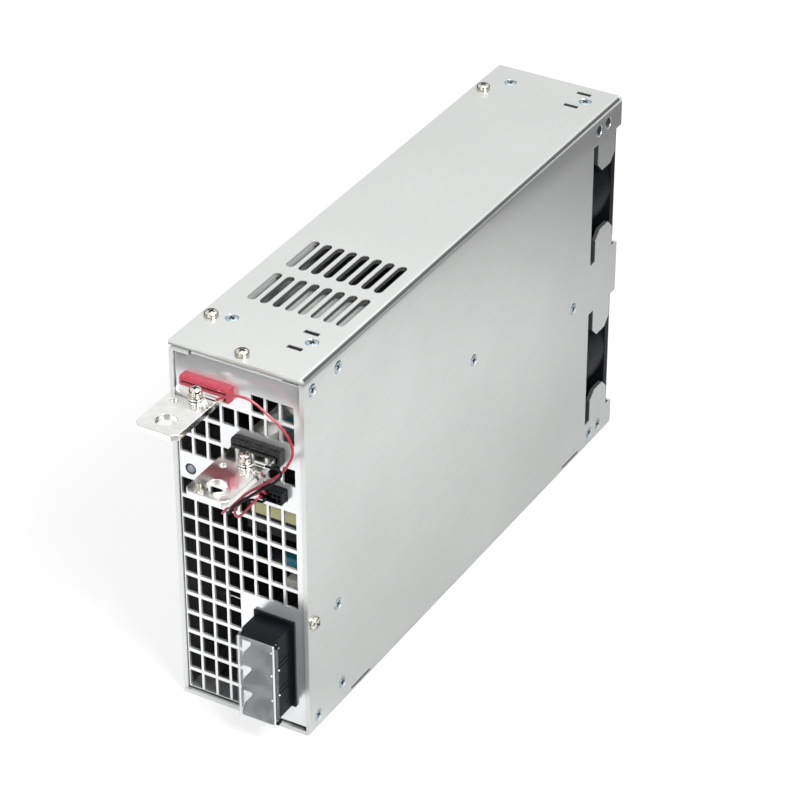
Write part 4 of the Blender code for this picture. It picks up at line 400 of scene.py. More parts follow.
def make_looks():
    """Every finish by its name."""
    made = {}

    def look(name, *values, **more):
        made[name] = surface(name, *values, **more)

    # inner=0.10 paints shade on the sheets' inside faces: their colour drops to a tenth inside the case.
    look("galvanised_sheet", (0.74, 0.755, 0.74), (0.68, 0.695, 0.68), 0.30, 0.8,
         grain=(900, 130, 900), grain_depth=0.35, bump=0.02, bump_depth=0.006, blotch=14.0,
         rough_spread=0.02, rolls=SHEET_ROLLS, inner=0.10)
    look("panel_sheet", (0.91, 0.915, 0.93), (0.87, 0.875, 0.89), 0.24, 0.73,
         grain=1500, grain_depth=0.5, bump=0.02, bump_depth=0.006, blotch=25.0,
         rough_spread=0.03, rolls=PANEL_ROLLS)
    look("blue_zinc_screw", (0.60, 0.72, 0.78), (0.40, 0.50, 0.57), 0.20, 1.0,
         grain=1200, grain_depth=0.5, bump=0.1)
    look("nickel_screw", (0.84, 0.81, 0.74), (0.62, 0.58, 0.50), 0.14, 1.0,
         grain=1200, grain_depth=0.5, bump=0.12)
    look("guard_wire", (0.78, 0.78, 0.78), (0.62, 0.62, 0.62), 0.16, 1.0)
    look("tinned_copper", (0.97, 0.965, 0.945), (0.84, 0.835, 0.80), 0.12, 1.0,
         grain=260, grain_depth=0.5, bump=0.05, bump_depth=0.02, blotch=70.0,
         rough_spread=0.04, wave=0.16, wave_scale=75.0)
    look("red_plastic", (0.43, 0.024, 0.055), (0.37, 0.019, 0.042), 0.32,
         grain=1500, grain_depth=0.5, bump=0.05, specular=1.0)
    look("black_plastic", (0.005, 0.006, 0.008), (0.009, 0.010, 0.013), 0.40,
         grain=1500, grain_depth=0.5, bump=0.06, specular=0.13)
    look("gloss_black", (0.006, 0.006, 0.007), (0.010, 0.010, 0.011), 0.28,
         grain=1500, grain_depth=0.5, bump=0.02, specular=0.45)
    look("pale_plate", (0.52, 0.535, 0.52), (0.47, 0.485, 0.47), 0.42, 0.25,
         grain=(1200, 60, 1200), grain_depth=0.6, bump=0.05)
    look("clear_plastic", (0.90, 0.92, 0.94), (0.84, 0.86, 0.88), 0.12, alpha=0.17,
         grain=600, grain_depth=0.5, bump=0.05, blotch=170.0, veil=0.04)
    look("clear_rim", (0.86, 0.88, 0.90), (0.80, 0.82, 0.84), 0.10, alpha=0.05,
         grain=600, grain_depth=0.5, bump=0.05)
    # Near-black recess look: painted shade in the screws' cross recesses and in the ring round the lamp lens.
    look("recess", (0.030, 0.034, 0.040), (0.055, 0.06, 0.065), 0.5, 0.7, bump=0.1)
    # Near-white and mostly opaque: painted highlight on the clear cover's edges and clips.
    look("painted_edge_highlight", (0.94, 0.95, 0.96), (0.88, 0.90, 0.92), 0.15, alpha=0.75,
         grain=600, grain_depth=0.5, bump=0.05)
    look("teal_film", (0.03, 0.30, 0.38), (0.02, 0.20, 0.27), 0.3, grain=700, bump=0.1)
    look("pale_part", (0.85, 0.84, 0.78), (0.76, 0.74, 0.66), 0.4, grain=700, bump=0.1)
    look("lamp_lens", (0.36, 0.40, 0.44), (0.24, 0.28, 0.33), 0.10, coat=0.5)
    look("board_laminate", (0.006, 0.045, 0.028), (0.012, 0.08, 0.045), 0.35,
         grain=350, grain_depth=0.7, bump=0.1)
    look("capacitor_sleeve", (0.010, 0.012, 0.018), (0.018, 0.02, 0.028), 0.3, specular=0.3)
    look("ferrite", (0.014, 0.014, 0.014), (0.025, 0.025, 0.025), 0.7, bump=0.4)
    look("winding_tape", (1.0, 0.99, 0.55), (0.97, 0.95, 0.46), 0.3, grain=(900, 60, 60))
    look("enamelled_copper", (0.36, 0.13, 0.04), (0.22, 0.075, 0.02), 0.3, 0.6)
    look("aluminium", (0.78, 0.79, 0.79), (0.66, 0.67, 0.67), 0.34, 1.0,
         grain=(1200, 60, 1200), grain_depth=0.6, bump=0.15)
    return made


# Pieces

def settle(piece, node, *more):
    """Ride on the node's body and stand for the node."""
    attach(piece, bodies[node])
    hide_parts(node, *more)
    return piece


def added(name, mesh, look, second=None):
    """A new object with one finish, or with two kept apart by the faces' indices."""
    kept = [face.material_index for face in mesh.polygons]
    mesh.materials.clear()
    mesh.materials.append(looks[look])
    if second:
        mesh.materials.append(looks[second])
        mesh.polygons.foreach_set("material_index", kept)
    return linked(name, mesh)


def finished(node, width, segments=2, angle=30.0, crease=0.5, look=None):
    """A copy of a CAD node with its sharp edges rounded, standing for the node."""
    mesh = nodes[node].data.copy()
    mesh.name = f"{node}_finished"
    shape = bmesh.new()
    shape.from_mesh(mesh)
    bmesh.ops.remove_doubles(shape, verts=shape.verts, dist=2e-6)
    bmesh.ops.dissolve_limit(shape, angle_limit=math.radians(crease), verts=shape.verts, edges=shape.edges)
    shape.to_mesh(mesh)
    shape.free()
    made = added(f"{node}_finished", mesh, look or slots[node])
    rounding = made.modifiers.new("rounding", "BEVEL")
    rounding.width = width
    rounding.segments = segments
    rounding.limit_method = "ANGLE"
    rounding.angle_limit = math.radians(angle)
    rounding.use_clamp_overlap = True
    rounding.harden_normals = True
    mesh.shade_smooth()
    even = made.modifiers.new("even", "WEIGHTED_NORMAL")
    even.keep_sharp = True
    return settle(made, node)


def turned(profile, steps):
    """Revolve (radius, height) points in millimetres about Z; the profile starts and ends on the axis."""
    shape = bmesh.new()
    rings = []
    for radius, height in profile:
        if radius == 0:
            rings.append([shape.verts.new((0, 0, height * MM))])
            continue
        ring = []
        for step in range(steps):
            turn = 2 * math.pi * step / steps
            place = (radius * MM * math.cos(turn), radius * MM * math.sin(turn), height * MM)
            ring.append(shape.verts.new(place))
        rings.append(ring)
    for low, high in zip(rings[:-1], rings[1:]):
        for step in range(steps):
            after = (step + 1) % steps
            if len(low) == 1:
                shape.faces.new((low[0], high[after], high[step]))
            elif len(high) == 1:
                shape.faces.new((low[step], low[after], high[0]))
            else:
                shape.faces.new((low[step], low[after], high[after], high[step]))
    bmesh.ops.recalc_face_normals(shape, faces=shape.faces)
    return shape


def tube(shape, points, radius, steps=10, closed=False):
    """Add a round tube along points, all in metres."""
    count = len(points)
    points = [Vector(point) for point in points]
    rings = []
    side = None
    for index in range(count):
        if closed:
            along = points[(index + 1) % count] - points[index - 1]
        else:
            along = points[min(index + 1, count - 1)] - points[max(index - 1, 0)]
        along.normalize()
        if side is None:
            side = along.orthogonal().normalized()
        side = (side - along * side.dot(along)).normalized()
        up = along.cross(side)
        ring = []
        for step in range(steps):
            turn = 2 * math.pi * step / steps
            outward = side * math.cos(turn) + up * math.sin(turn)
            ring.append(shape.verts.new(points[index] + radius * outward))
        rings.append(ring)
    if closed:
        rings.append(nearest_turn(rings[-1], rings[0]))
    for low, high in zip(rings[:-1], rings[1:]):
        for step in range(steps):
            after = (step + 1) % steps
            shape.faces.new((low[step], low[after], high[after], high[step]))
    if not closed:
        shape.faces.new(rings[0][::-1])
        shape.faces.new(rings[-1])


def nearest_turn(last, first):
    """The first ring's points, turned so that they meet the last ring without a twist."""
    steps = len(first)
    start = min(range(steps), key=lambda shift: (first[shift].co - last[0].co).length)
    return [first[(start + step) % steps] for step in range(steps)]


def ring_points(centre, radius, steps=48):
    """Points of a circle that faces along Y."""
    return [
        (centre[0] + radius * math.cos(2 * math.pi * step / steps), centre[1],
         centre[2] + radius * math.sin(2 * math.pi * step / steps))
        for step in range(steps)
    ]


def add_slab(shape, x_range, y_range, z_range, soften=0.0):
    """Box in metres, with its edges softened where asked."""
    made = bmesh.ops.create_cube(shape, size=1.0)["verts"]
    for vert in made:
        vert.co = Vector([
            sum(pair) / 2 + share * (pair[1] - pair[0])
            for share, pair in zip(vert.co, (x_range, y_range, z_range))
        ])
    if soften:
        edges = {edge for vert in made for edge in vert.link_edges}
        bmesh.ops.bevel(shape, geom=list(edges), offset=soften, segments=2, profile=0.5, affect="EDGES")


def merge(shape, part, where):
    """Add one shape to another, placed by a matrix."""
    mesh = bpy.data.meshes.new("part")
    part.to_mesh(mesh)
    part.free()
    mesh.transform(where)
    shape.from_mesh(mesh)
    bpy.data.meshes.remove(mesh)


def add_turned(shape, profile, steps, where):
    """Add a revolved profile placed by a matrix."""
    merge(shape, turned(profile, steps), where)


def as_mesh(shape, name, sharp=32.0):
    mesh = bpy.data.meshes.new(name)
    shape.to_mesh(mesh)
    shape.free()
    mesh.shade_smooth()
    mesh.set_sharp_from_angle(angle=math.radians(sharp))
    return mesh


def dome(radius, base, crown, steps=5):
    """Profile points of a rounded head: straight side, soft shoulder and a low crown."""
    points = []
    for step in range(steps + 1):
        turn = step / steps * math.pi / 2
        points.append((radius * (0.62 + 0.38 * math.cos(turn)),
                       base + (crown - base) * 0.86 * math.sin(turn)))
    points.append((radius * 0.35, crown))
    points.append((0, crown))
    return points


def cross_cutter(top, reach, width, depth):
    """Tapered plus-shaped tool for a cross recess, in millimetres."""
    shape = bmesh.new()
    rings = []
    for height, long, wide in ((top - depth, reach * 0.45, width * 0.55), (top + 0.4, reach, width)):
        ring = []
        for quarter in range(4):
            turn = quarter * math.pi / 2
            for a, b in ((long, -wide / 2), (long, wide / 2), (wide / 2, wide / 2)):
                x = a * math.cos(turn) - b * math.sin(turn)
                y = a * math.sin(turn) + b * math.cos(turn)
                ring.append(shape.verts.new((x * MM, y * MM, height * MM)))
        rings.append(ring)
    for step in range(12):
        after = (step + 1) % 12
        shape.faces.new((rings[0][step], rings[0][after], rings[1][after], rings[1][step]))
    shape.faces.new(rings[0][::-1])
    shape.faces.new(rings[1])
    bmesh.ops.recalc_face_normals(shape, faces=shape.faces)
    return shape


def cut(body, tools, material_mode="INDEX"):
    """Mesh of an object cut by other objects, which are all removed."""
    for tool in tools:
        step = body.modifiers.new("cut", "BOOLEAN")
        step.operation = "DIFFERENCE"
        step.solver = "EXACT"
        step.material_mode = material_mode
        step.object = tool
    mesh = bpy.data.meshes.new_from_object(body.evaluated_get(bpy.context.evaluated_depsgraph_get()))
    for piece in (body, *tools):
        bpy.data.objects.remove(piece, do_unlink=True)
    return mesh


def recessed(name, profile, cross, steps=40):
    """Mesh of a turned screw with its cross recess; cross is top, reach, width and depth."""
    body = linked(name, as_mesh(turned(profile, steps), name))
    tool = linked(f"{name}_cutter", as_mesh(cross_cutter(*cross), f"{name}_cutter"))
    body.data.materials.append(looks["nickel_screw"])
    # The cutter's near-black recess look passes to the recess faces: painted shade.
    tool.data.materials.append(looks["recess"])
    mesh = cut(body, [tool], "TRANSFER")
    mesh.name = f"{name}_shape"
    mesh.shade_smooth()
    mesh.set_sharp_from_angle(angle=math.radians(32.0))
    return mesh


def put(name, mesh, look, place, direction, spin=0.0):
    """Place a piece built along +Z so that it faces a direction, with its place in its mesh."""
    turn = Vector(direction).to_track_quat("Z", "Y").to_matrix().to_4x4()
    where = Matrix.Translation(place) @ turn @ Matrix.Rotation(math.radians(spin), 4, "Z")
    own = mesh.copy()
    own.name = name
    own.transform(where)
    return added(name, own, look, "recess" if len(mesh.materials) > 1 else None)


FLUSH_HEAD = [(0, -5.4), (1.35, -5.4), (1.35, -1.6), (2.5, -0.28), (2.62, -0.14), (2.45, -0.04), (1.9, 0.04),
              (0, 0.08)]
FLUSH_CROSS = (0.08, 1.75, 0.95, 1.3)
PAN_SCREW = [(0, -5.4), (1.35, -5.4), (1.35, 0.15), (3.0, 0.15), (3.1, 0.3)] + dome(3.1, 0.9, 2.2)
PAN_CROSS = (2.2, 1.85, 0.85, 1.5)
PAN_SCREWS = ("cover_screw_front", "cover_screw_rear", "panel_screw_top", "side_panel_screw")


def screw_spin(name):
    """Each screw stopped at its own angle."""
    return sum(ord(letter) for letter in name) * 37 % 90


def case_screws():
    """Countersunk and pan-head screws of the case, each on its sheet."""
    flush = recessed("flush_screw", FLUSH_HEAD, FLUSH_CROSS)
    pan = recessed("pan_screw", PAN_SCREW, PAN_CROSS)
    right, _, top = case_corner()
    for name, slot in slots.items():
        if slot != "blue_zinc_screw" and name not in PAN_SCREWS:
            continue
        shape = pan if name in PAN_SCREWS else flush
        direction, place = (0, 0, 1), (*middle(name)[:2], top)
        if name.startswith(("side_", "board_")):
            direction, place = (1, 0, 0), (right, *middle(name)[1:])
        settle(put(f"{name}_head", shape, slot, place, direction, screw_spin(name)), name)


def sense_screws():
    """Flat washer, split spring washer and domed head in one stack, heights above the bar."""
    profile = [(0, -4.5), (1.6, -4.5), (1.6, 1.4), (3.0, 1.4), (3.1, 1.5), (3.1, 2.0), (3.0, 2.1),
               (2.2, 2.1), (2.2, 2.22), (2.7, 2.22), (2.8, 2.3), (2.8, 2.8), (2.7, 2.88),
               (2.2, 2.88), (2.2, 3.0), (2.65, 3.0), (2.75, 3.1)] + dome(2.75, 3.7, 5.2)
    shape = recessed("sense_screw_shape", profile, (5.2, 1.65, 0.8, 1.4), steps=36)
    for pole in ("positive", "negative"):
        node = f"{pole}_sense_screw"
        centre = middle(node)
        place = (centre.x, centre.y, span(f"{pole}_busbar", 2)[1])
        settle(put(f"{node}_detail", shape, slots[node], place, (0, 0, 1), 20.0), node)


def mains_screws():
    """Terminal screws with their square clamps."""
    profile = [(0, -3.8), (1.9, -3.8), (1.9, 0.9), (3.25, 0.9), (3.25, 1.1), (2.85, 1.65),
               (2.3, 2.1), (1.6, 2.4), (0.8, 2.56), (0, 2.6)]
    head = recessed("mains_screw_shape", profile, (2.6, 2.0, 0.8, 1.3), steps=36)
    whole = bmesh.new()
    whole.from_mesh(head)
    add_turned(whole, [(0, 0), (4.95, 0), (5.1, 0.15), (5.1, 0.75), (4.95, 0.9), (0, 0.9)], 4,
               Matrix.Rotation(math.radians(45.0), 4, "Z"))
    mesh = as_mesh(whole, "mains_screw_clamped")
    for material in head.materials:
        mesh.materials.append(material)
    for number in (1, 2, 3):
        node = f"mains_screw_{number}"
        centre = middle(node)
        place = (centre.x, span(node, 1)[1] - 3.8 * MM, centre.z)
        settle(put(f"{node}_detail", mesh, slots[node], place, (0, -1, 0)), node)


# Wire routes as in the part: inset from the right edge, distance ahead of the case front, drop below the top
WIRE_RADIUS = 0.55 * MM
PLUG_PITCH = 2.0 * MM
WIDEST_INSET = 1.75
POSITIVE_RISE = (
    (0.067, 11.4, 11.1), (0.166, 11.0, 9.3), (0.323, 10.4, 8.3), (0.470, 9.2, 9.7), (0.639, 7.9, 14.0),
    (0.812, 6.8, 18.8), (0.930, 6.1, 23.5), (0.984, 5.9, 27.4), (1.0, 6.2, 31.4),
)
POSITIVE_FALL = (
    (2.65, 7.4, 35.0), (4.85, 9.0, 39.0), (9.25, 10.3, 43.6), (15.35, 10.9, 48.7), (21.65, 11.2, 54.5),
    (27.35, 11.3, 60.5), (31.15, 11.2, 65.0), (33.05, 10.7, 67.5), (33.95, 9.6, 68.6), (34.25, 8.2, 68.9),
    (32.25, 7.0, 66.6), (28.95, 6.4, 62.9), (23.35, 6.1, 56.9), (19.55, 5.8, 54.2), (17.15, 5.0, 54.8),
)
NEGATIVE_ROUTE = (
    (7.85, 13.4, 35.3), (5.55, 13.3, 35.1), (3.75, 12.9, 36.0), (3.45, 12.4, 38.0), (4.95, 12.2, 40.6),
    (8.25, 12.2, 44.5), (13.75, 12.3, 49.0), (20.05, 12.5, 54.8), (25.85, 12.4, 60.6), (28.4, 12.1, 63.7),
    (29.7, 11.2, 65.9), (30.2, 9.8, 67.2), (30.35, 8.2, 67.2), (29.15, 6.8, 65.8), (26.95, 5.5, 63.2),
    (22.35, 4.9, 60.9), (19.15, 4.7, 60.6), (17.15, 4.5, 60.1),
)
LINK_ROUTE = (
    (18.85, 4.6, 56.6), (19.05, 5.8, 56.1), (20.15, 7.4, 56.3), (21.55, 8.3, 57.2), (24.25, 8.5, 59.1),
    (27.25, 8.6, 62.6), (28.55, 8.6, 66.3), (27.85, 8.4, 68.9), (25.95, 8.2, 67.8), (23.55, 8.1, 64.8),
    (20.95, 7.6, 61.0), (19.55, 6.2, 59.1), (18.95, 4.6, 58.6),
)


def routed(points):
    right, front, top = case_corner()
    return [(right - inset * MM, front - ahead * MM, top - drop * MM) for inset, ahead, drop in points]


def smooth_wire(name, node, points):
    """Round insulated wire along a route, standing for the CAD wire."""
    curve = bpy.data.curves.new(name, "CURVE")
    curve.dimensions = "3D"
    curve.bevel_depth = WIRE_RADIUS
    curve.bevel_resolution = 4
    curve.use_fill_caps = True
    curve.resolution_u = 8
    spline = curve.splines.new("BEZIER")
    spline.bezier_points.add(len(points) - 1)
    for knot, point in zip(spline.bezier_points, points):
        knot.co = point
        knot.handle_left_type = "AUTO"
        knot.handle_right_type = "AUTO"
    curve.materials.append(looks[slots[node]])
    return settle(linked(name, curve), node)


def sense_wires():
    """The two sense wires from their lugs to the plug, and the link between two of its cavities."""
    right, front, top = case_corner()
    plug = middle("signal_connector")
    face = span("signal_connector", 1)[0] - 0.3 * MM

    def cavity(column, row):
        return plug.x + (column - 2) * PLUG_PITCH, face, plug.z + (row - 0.5) * PLUG_PITCH

    starts = {}
    for pole in ("positive", "negative"):
        lug_end = span(f"{pole}_sense_lug", 0)[1] - 0.8 * MM
        lug_top = span(f"{pole}_sense_lug", 2)[1] - 1.15 * MM
        starts[pole] = (lug_end, middle(f"{pole}_sense_lug").y, lug_top)
    begin = starts["positive"][0] + 1.1 * MM
    reach = right - WIDEST_INSET * MM - begin
    rise = [(begin + share * reach, front - ahead * MM, top - drop * MM)
            for share, ahead, drop in POSITIVE_RISE]
    x, y, z = cavity(1, 1)
    entry = (x, y - 0.7 * MM, z + 0.65 * MM)
    smooth_wire("positive_sense_wire_round", "positive_sense_wire",
                [starts["positive"], *rise, *routed(POSITIVE_FALL), entry, cavity(1, 1)])
    smooth_wire("negative_sense_wire_round", "negative_sense_wire",
                [starts["negative"], *routed(NEGATIVE_ROUTE), cavity(1, 0)])
    smooth_wire("remote_link_wire_round", "remote_link_wire",
                [cavity(0, 1), *routed(LINK_ROUTE), cavity(0, 0)])


def lamp():
    """Lens with a narrow shoulder and a low dome; the shoulder and flange take the near-black recess look as
    painted shade round the lens.
    """
    low, high = boxes["status_lamp"]
    depth = (high[1] - low[1]) / MM
    profile = [(0, 0), (3.1, 0), (3.1, 1.0), (2.35, 1.0), (2.35, depth - 1.25), (2.2, depth - 1.0),
               (1.85, depth - 0.95), (1.7, depth - 0.75), (1.3, depth - 0.35),
               (0.7, depth - 0.08), (0, depth)]
    mesh = as_mesh(turned(profile, 36), "status_lamp_lens", 40.0)
    for look in ("lamp_lens", "recess"):
        mesh.materials.append(looks[look])
    # Faces beyond 1.85 mm from the axis get the recess look: painted shade of the gap round the lens.
    for face in mesh.polygons:
        face.material_index = int(face.center.xy.length > 1.85 * MM)
    centre = middle("status_lamp")
    settle(put("status_lamp_lens", mesh, slots["status_lamp"], (centre.x, high[1], centre.z), (0, -1, 0)),
           "status_lamp")


# Fans: sizes in millimetres, as in the part
FAN_HALF = 30.0
FAN_DEPTH = 25.0
FAN_BORE = 28.6
FAN_FLANGE = 3.6
FAN_HOLES = 25.0
FAN_CORNER = 3.5
FAN_WAIST = 29.85
SCREW_HOLE = 2.15
STRUT_REACH = (14.6, 29.0)
STRUT_HALF = 1.6
HUB_RADIUS = 15.6
HUB_DEPTH = 19.5
MOTOR_BASE = 3.0
BLADE_COUNT = 7
BLADE_RISE = 7.4
BLADE_SWEEP = math.radians(21.0)
BLADE_THICK = 1.1
BLADE_CAMBER = 1.1
TIP_GAP = 1.2
GUARD_WIRE = 0.85
GUARD_BACK = 2.94 * MM
GUARD_RINGS = (9.5, 17.5, 25.5)
ALONG_Y = Matrix.Rotation(math.radians(-90.0), 4, "X")


def cylinder(shape, radius, low, high, steps, x=0.0, z=0.0):
    """Round tool along Y, in millimetres."""
    add_turned(shape, [(0, low), (radius, low), (radius, high), (0, high)], steps,
               Matrix.Translation((x * MM, 0, z * MM)) @ ALONG_Y)


def fan_frame_mesh():
    """Square housing with round duct, screw holes, struts and motor base, centred on its axis along Y."""
    half = FAN_DEPTH / 2
    base = bmesh.new()
    outline = []
    for sx, sz, start in ((1, 1, 0), (-1, 1, 90), (-1, -1, 180), (1, -1, 270)):
        for step in range(7):
            turn = math.radians(start + step * 15)
            outline.append((sx * (FAN_HALF - FAN_CORNER) + FAN_CORNER * math.cos(turn),
                            sz * (FAN_HALF - FAN_CORNER) + FAN_CORNER * math.sin(turn)))
    low = [base.verts.new((x * MM, -half * MM, z * MM)) for x, z in outline]
    high = [base.verts.new((x * MM, half * MM, z * MM)) for x, z in outline]
    for step in range(len(outline)):
        after = (step + 1) % len(outline)
        base.faces.new((low[step], low[after], high[after], high[step]))
    base.faces.new(low[::-1])
    base.faces.new(high)
    bmesh.ops.recalc_face_normals(base, faces=base.faces)
    waist = bmesh.new()
    inside = half - FAN_FLANGE
    section = [(FAN_WAIST, -inside), (60, -inside), (60, inside), (FAN_WAIST, inside), (FAN_WAIST, -inside)]
    ring = turned(section, 72)
    bmesh.ops.remove_doubles(ring, verts=ring.verts, dist=1e-7)
    bmesh.ops.recalc_face_normals(ring, faces=ring.faces)
    merge(waist, ring, ALONG_Y)
    bore = bmesh.new()
    cylinder(bore, FAN_BORE, -FAN_DEPTH, FAN_DEPTH, 96)
    holes = bmesh.new()
    for x in (-FAN_HOLES, FAN_HOLES):
        for z in (-FAN_HOLES, FAN_HOLES):
            cylinder(holes, SCREW_HOLE, -FAN_DEPTH, FAN_DEPTH, 24, x, z)
    tools = [linked(f"fan_tool_{index}", as_mesh(tool, f"fan_tool_{index}"))
             for index, tool in enumerate((waist, bore, holes))]
    whole = bmesh.new()
    whole.from_mesh(cut(linked("fan_frame", as_mesh(base, "fan_frame")), tools))
    for index in range(4):
        arm = bmesh.new()
        add_slab(arm, [end * MM for end in STRUT_REACH], ((0.2 - half) * MM, (MOTOR_BASE - 0.4 - half) * MM),
                 (-STRUT_HALF * MM, STRUT_HALF * MM), 0.3 * MM)
        merge(whole, arm, Matrix.Rotation(math.radians(45 + 90 * index), 4, "Y"))
    base_back = MOTOR_BASE - half
    add_turned(whole, [(0, -half + 0.5), (4.2, -half + 0.5), (4.4, -half), (15.1, -half), (15.6, 0.5 - half),
                       (15.6, base_back), (4, base_back), (4, base_back + 1.9), (1.8, base_back + 2.3),
                       (0, base_back + 2.3)], 72, ALONG_Y)
    return as_mesh(whole, "fan_frame_shape", 30.0)


def rotor_mesh():
    """Hub cup with rounded cap and swept, cambered blades, centred on its axis along Y."""
    open_side = -FAN_DEPTH / 2 + MOTOR_BASE + 0.6
    cap = open_side + HUB_DEPTH
    whole = bmesh.new()
    profile = [(0, open_side + 2), (HUB_RADIUS - 1.6, open_side + 2), (HUB_RADIUS - 1.6, open_side),
               (HUB_RADIUS - 0.2, open_side), (HUB_RADIUS, open_side + 0.2), (HUB_RADIUS, cap - 1.3),
               (HUB_RADIUS - 0.3, cap - 0.5), (HUB_RADIUS - 1.2, cap), (11.2, cap),
               (10.9, cap - 0.25), (10.5, cap - 0.25), (10.2, cap), (0, cap)]
    add_turned(whole, profile, 72, ALONG_Y)
    middle_y = (open_side + cap) / 2 - 1.0
    for index in range(BLADE_COUNT):
        add_blade(whole, 2 * math.pi * index / BLADE_COUNT, middle_y)
    return as_mesh(whole, "rotor_shape", 34.0)


def add_blade(shape, turn, middle_y):
    """One blade: rows of points round its section, from the hub to the tip."""
    chords = [-1.0 + 2.0 * step / 10 for step in range(11)]
    reach = FAN_BORE - TIP_GAP
    rows = []
    for step in range(7):
        radius = HUB_RADIUS - 0.8 + (reach - HUB_RADIUS + 0.8) * step / 6
        row = []
        for side, walk in ((-1, chords), (1, chords[::-1])):
            for chord in walk:
                thick = BLADE_THICK / 2 * math.sqrt(max(0.04, 1 - chord ** 4))
                angle = turn + chord * BLADE_SWEEP * (1.0 + 0.12 * radius / FAN_BORE)
                along = middle_y + chord * BLADE_RISE + BLADE_CAMBER * (1 - chord * chord) + side * thick
                row.append(shape.verts.new((radius * MM * math.cos(angle), along * MM,
                                            radius * MM * math.sin(angle))))
        rows.append(row)
    count = len(rows[0])
    for near, far in zip(rows[:-1], rows[1:]):
        for step in range(count):
            after = (step + 1) % count
            shape.faces.new((near[step], near[after], far[after], far[step]))
    for row in (rows[0], rows[-1]):
        for step in range(10):
            shape.faces.new((row[step], row[step + 1], row[count - 2 - step], row[count - 1 - step]))


def guard_mesh(screw):
    """Crossed wires with eyes round four screws, and three rings; wire plane at Y 0."""
    whole = bmesh.new()
    inner = (FAN_HOLES - 2.0) * MM
    for sign in (1, -1):
        points = [(share * inner, 0, sign * share * inner) for share in (-1.0, -0.5, 0.0, 0.5, 1.0)]
        tube(whole, points, GUARD_WIRE * MM, 12)
    for radius in GUARD_RINGS:
        tube(whole, ring_points((0, 1.2 * MM, 0), radius * MM, 72), GUARD_WIRE * MM, 12, closed=True)
    for x in (-FAN_HOLES, FAN_HOLES):
        for z in (-FAN_HOLES, FAN_HOLES):
            tube(whole, ring_points((x * MM, 0, z * MM), 2.75 * MM, 32), GUARD_WIRE * MM, 10, closed=True)
            own = screw.copy()
            own.polygons.foreach_set("material_index", [0] * len(own.polygons))
            own.transform(Matrix.Translation((x * MM, 0.7 * MM, z * MM)) @ ALONG_Y
                          @ Matrix.Rotation(math.radians(x + 2 * z), 4, "Z"))
            whole.from_mesh(own)
    return as_mesh(whole, "guard_shape", 32.0)


def fan_piece(node, shape, place):
    """A copy of a shared shape at its place, standing for a node."""
    own = shape.copy()
    own.transform(Matrix.Translation(place))
    return settle(added(f"{node}_smooth", own, slots[node]), node)


def fans():
    """Smooth fan frames, rotors and finger guards in place of the plain ones."""
    frame_shape, rotor_shape = fan_frame_mesh(), rotor_mesh()
    screw = recessed("guard_screw", [(0, -9), (1.85, -9), (1.85, 0), (3.1, 0), (3.2, 0.15)]
                     + dome(3.2, 0.7, 2.2), (2.2, 1.9, 0.85, 1.4), steps=36)
    guard_shape = guard_mesh(screw)
    for level in ("upper", "lower"):
        node = f"{level}_fan_frame"
        centre = middle(node)
        edge = fan_piece(node, frame_shape, centre).modifiers.new("rounding", "BEVEL")
        edge.width = 0.3 * MM
        edge.segments = 2
        edge.angle_limit = math.radians(40.0)
        fan_piece(f"{level}_fan_rotor", rotor_shape, centre)
        node = f"{level}_finger_guard"
        fan_piece(node, guard_shape, (centre.x, span(node, 1)[1] - GUARD_BACK, centre.z))


# Inside the case

def capacitors():
    """Sleeved cans with crimp groove and a top sunk inside a rim."""
    for node in ("bulk_capacitor_front", "bulk_capacitor_rear"):
        low, high = boxes[node]
        length = (high[0] - low[0]) / MM
        profile = [(0, 0), (14.6, 0), (15, 0.4), (15, 3), (14.4, 3.6), (14, 4), (14.4, 4.4), (15, 5),
                   (15, length - 0.8), (14.7, length - 0.2), (14.2, length), (13.4, length),
                   (13.2, length - 0.5), (0, length - 0.5)]
        mesh = as_mesh(turned(profile, 64), f"{node}_can", 40.0)
        centre = middle(node)
        settle(put(f"{node}_can", mesh, slots[node], (high[0], centre.y, centre.z), (-1, 0, 0)), node)


# Node, turns, wire radius in millimetres, hole as a share of the ring
CHOKES = (("boost_choke", 34, 1.15, 0.42), ("filter_choke", 24, 1.05, 0.4))


def chokes():
    """Ring cores with their turns of enamelled wire, axis across the case."""
    for node, turns, wire, hole in CHOKES:
        low, high = boxes[node]
        centre = middle(node)
        outer = (high[1] - low[1]) / 2
        inner = outer * hole
        half = (high[0] - low[0]) / 2
        whole = bmesh.new()
        points = []
        steps = turns * 14
        thick = wire * MM
        mid = (outer + inner) / 2
        across = (outer - inner) / 2 - thick
        deep = half - thick
        for step in range(steps):
            around = 2 * math.pi * step / steps
            twist = 2 * math.pi * turns * step / steps
            radius = mid + across * superround(math.cos(twist))
            points.append((centre.x + deep * superround(math.sin(twist)),
                           centre.y + radius * math.cos(around), centre.z + radius * math.sin(around)))
        tube(whole, points, thick, 8, closed=True)
        settle(added(f"{node}_turns", as_mesh(whole, f"{node}_turns", 60.0), slots[node]), node)
        core = bmesh.new()
        wide = across / MM - 1.1 * wire
        tall = deep / MM - 1.1 * wire
        profile = [(mid / MM + side * wide, end * tall)
                   for side, end in ((-1, -1), (1, -1), (1, 1), (-1, 1))]
        add_loop(core, profile, 48, centre)
        piece = added(f"{node}_core", as_mesh(core, f"{node}_core", 40.0), "ferrite")
        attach(piece, bodies[node])


def superround(share):
    """Flatten a sine so that a turn of wire follows a squarish section."""
    return math.copysign(abs(share) ** 0.55, share)


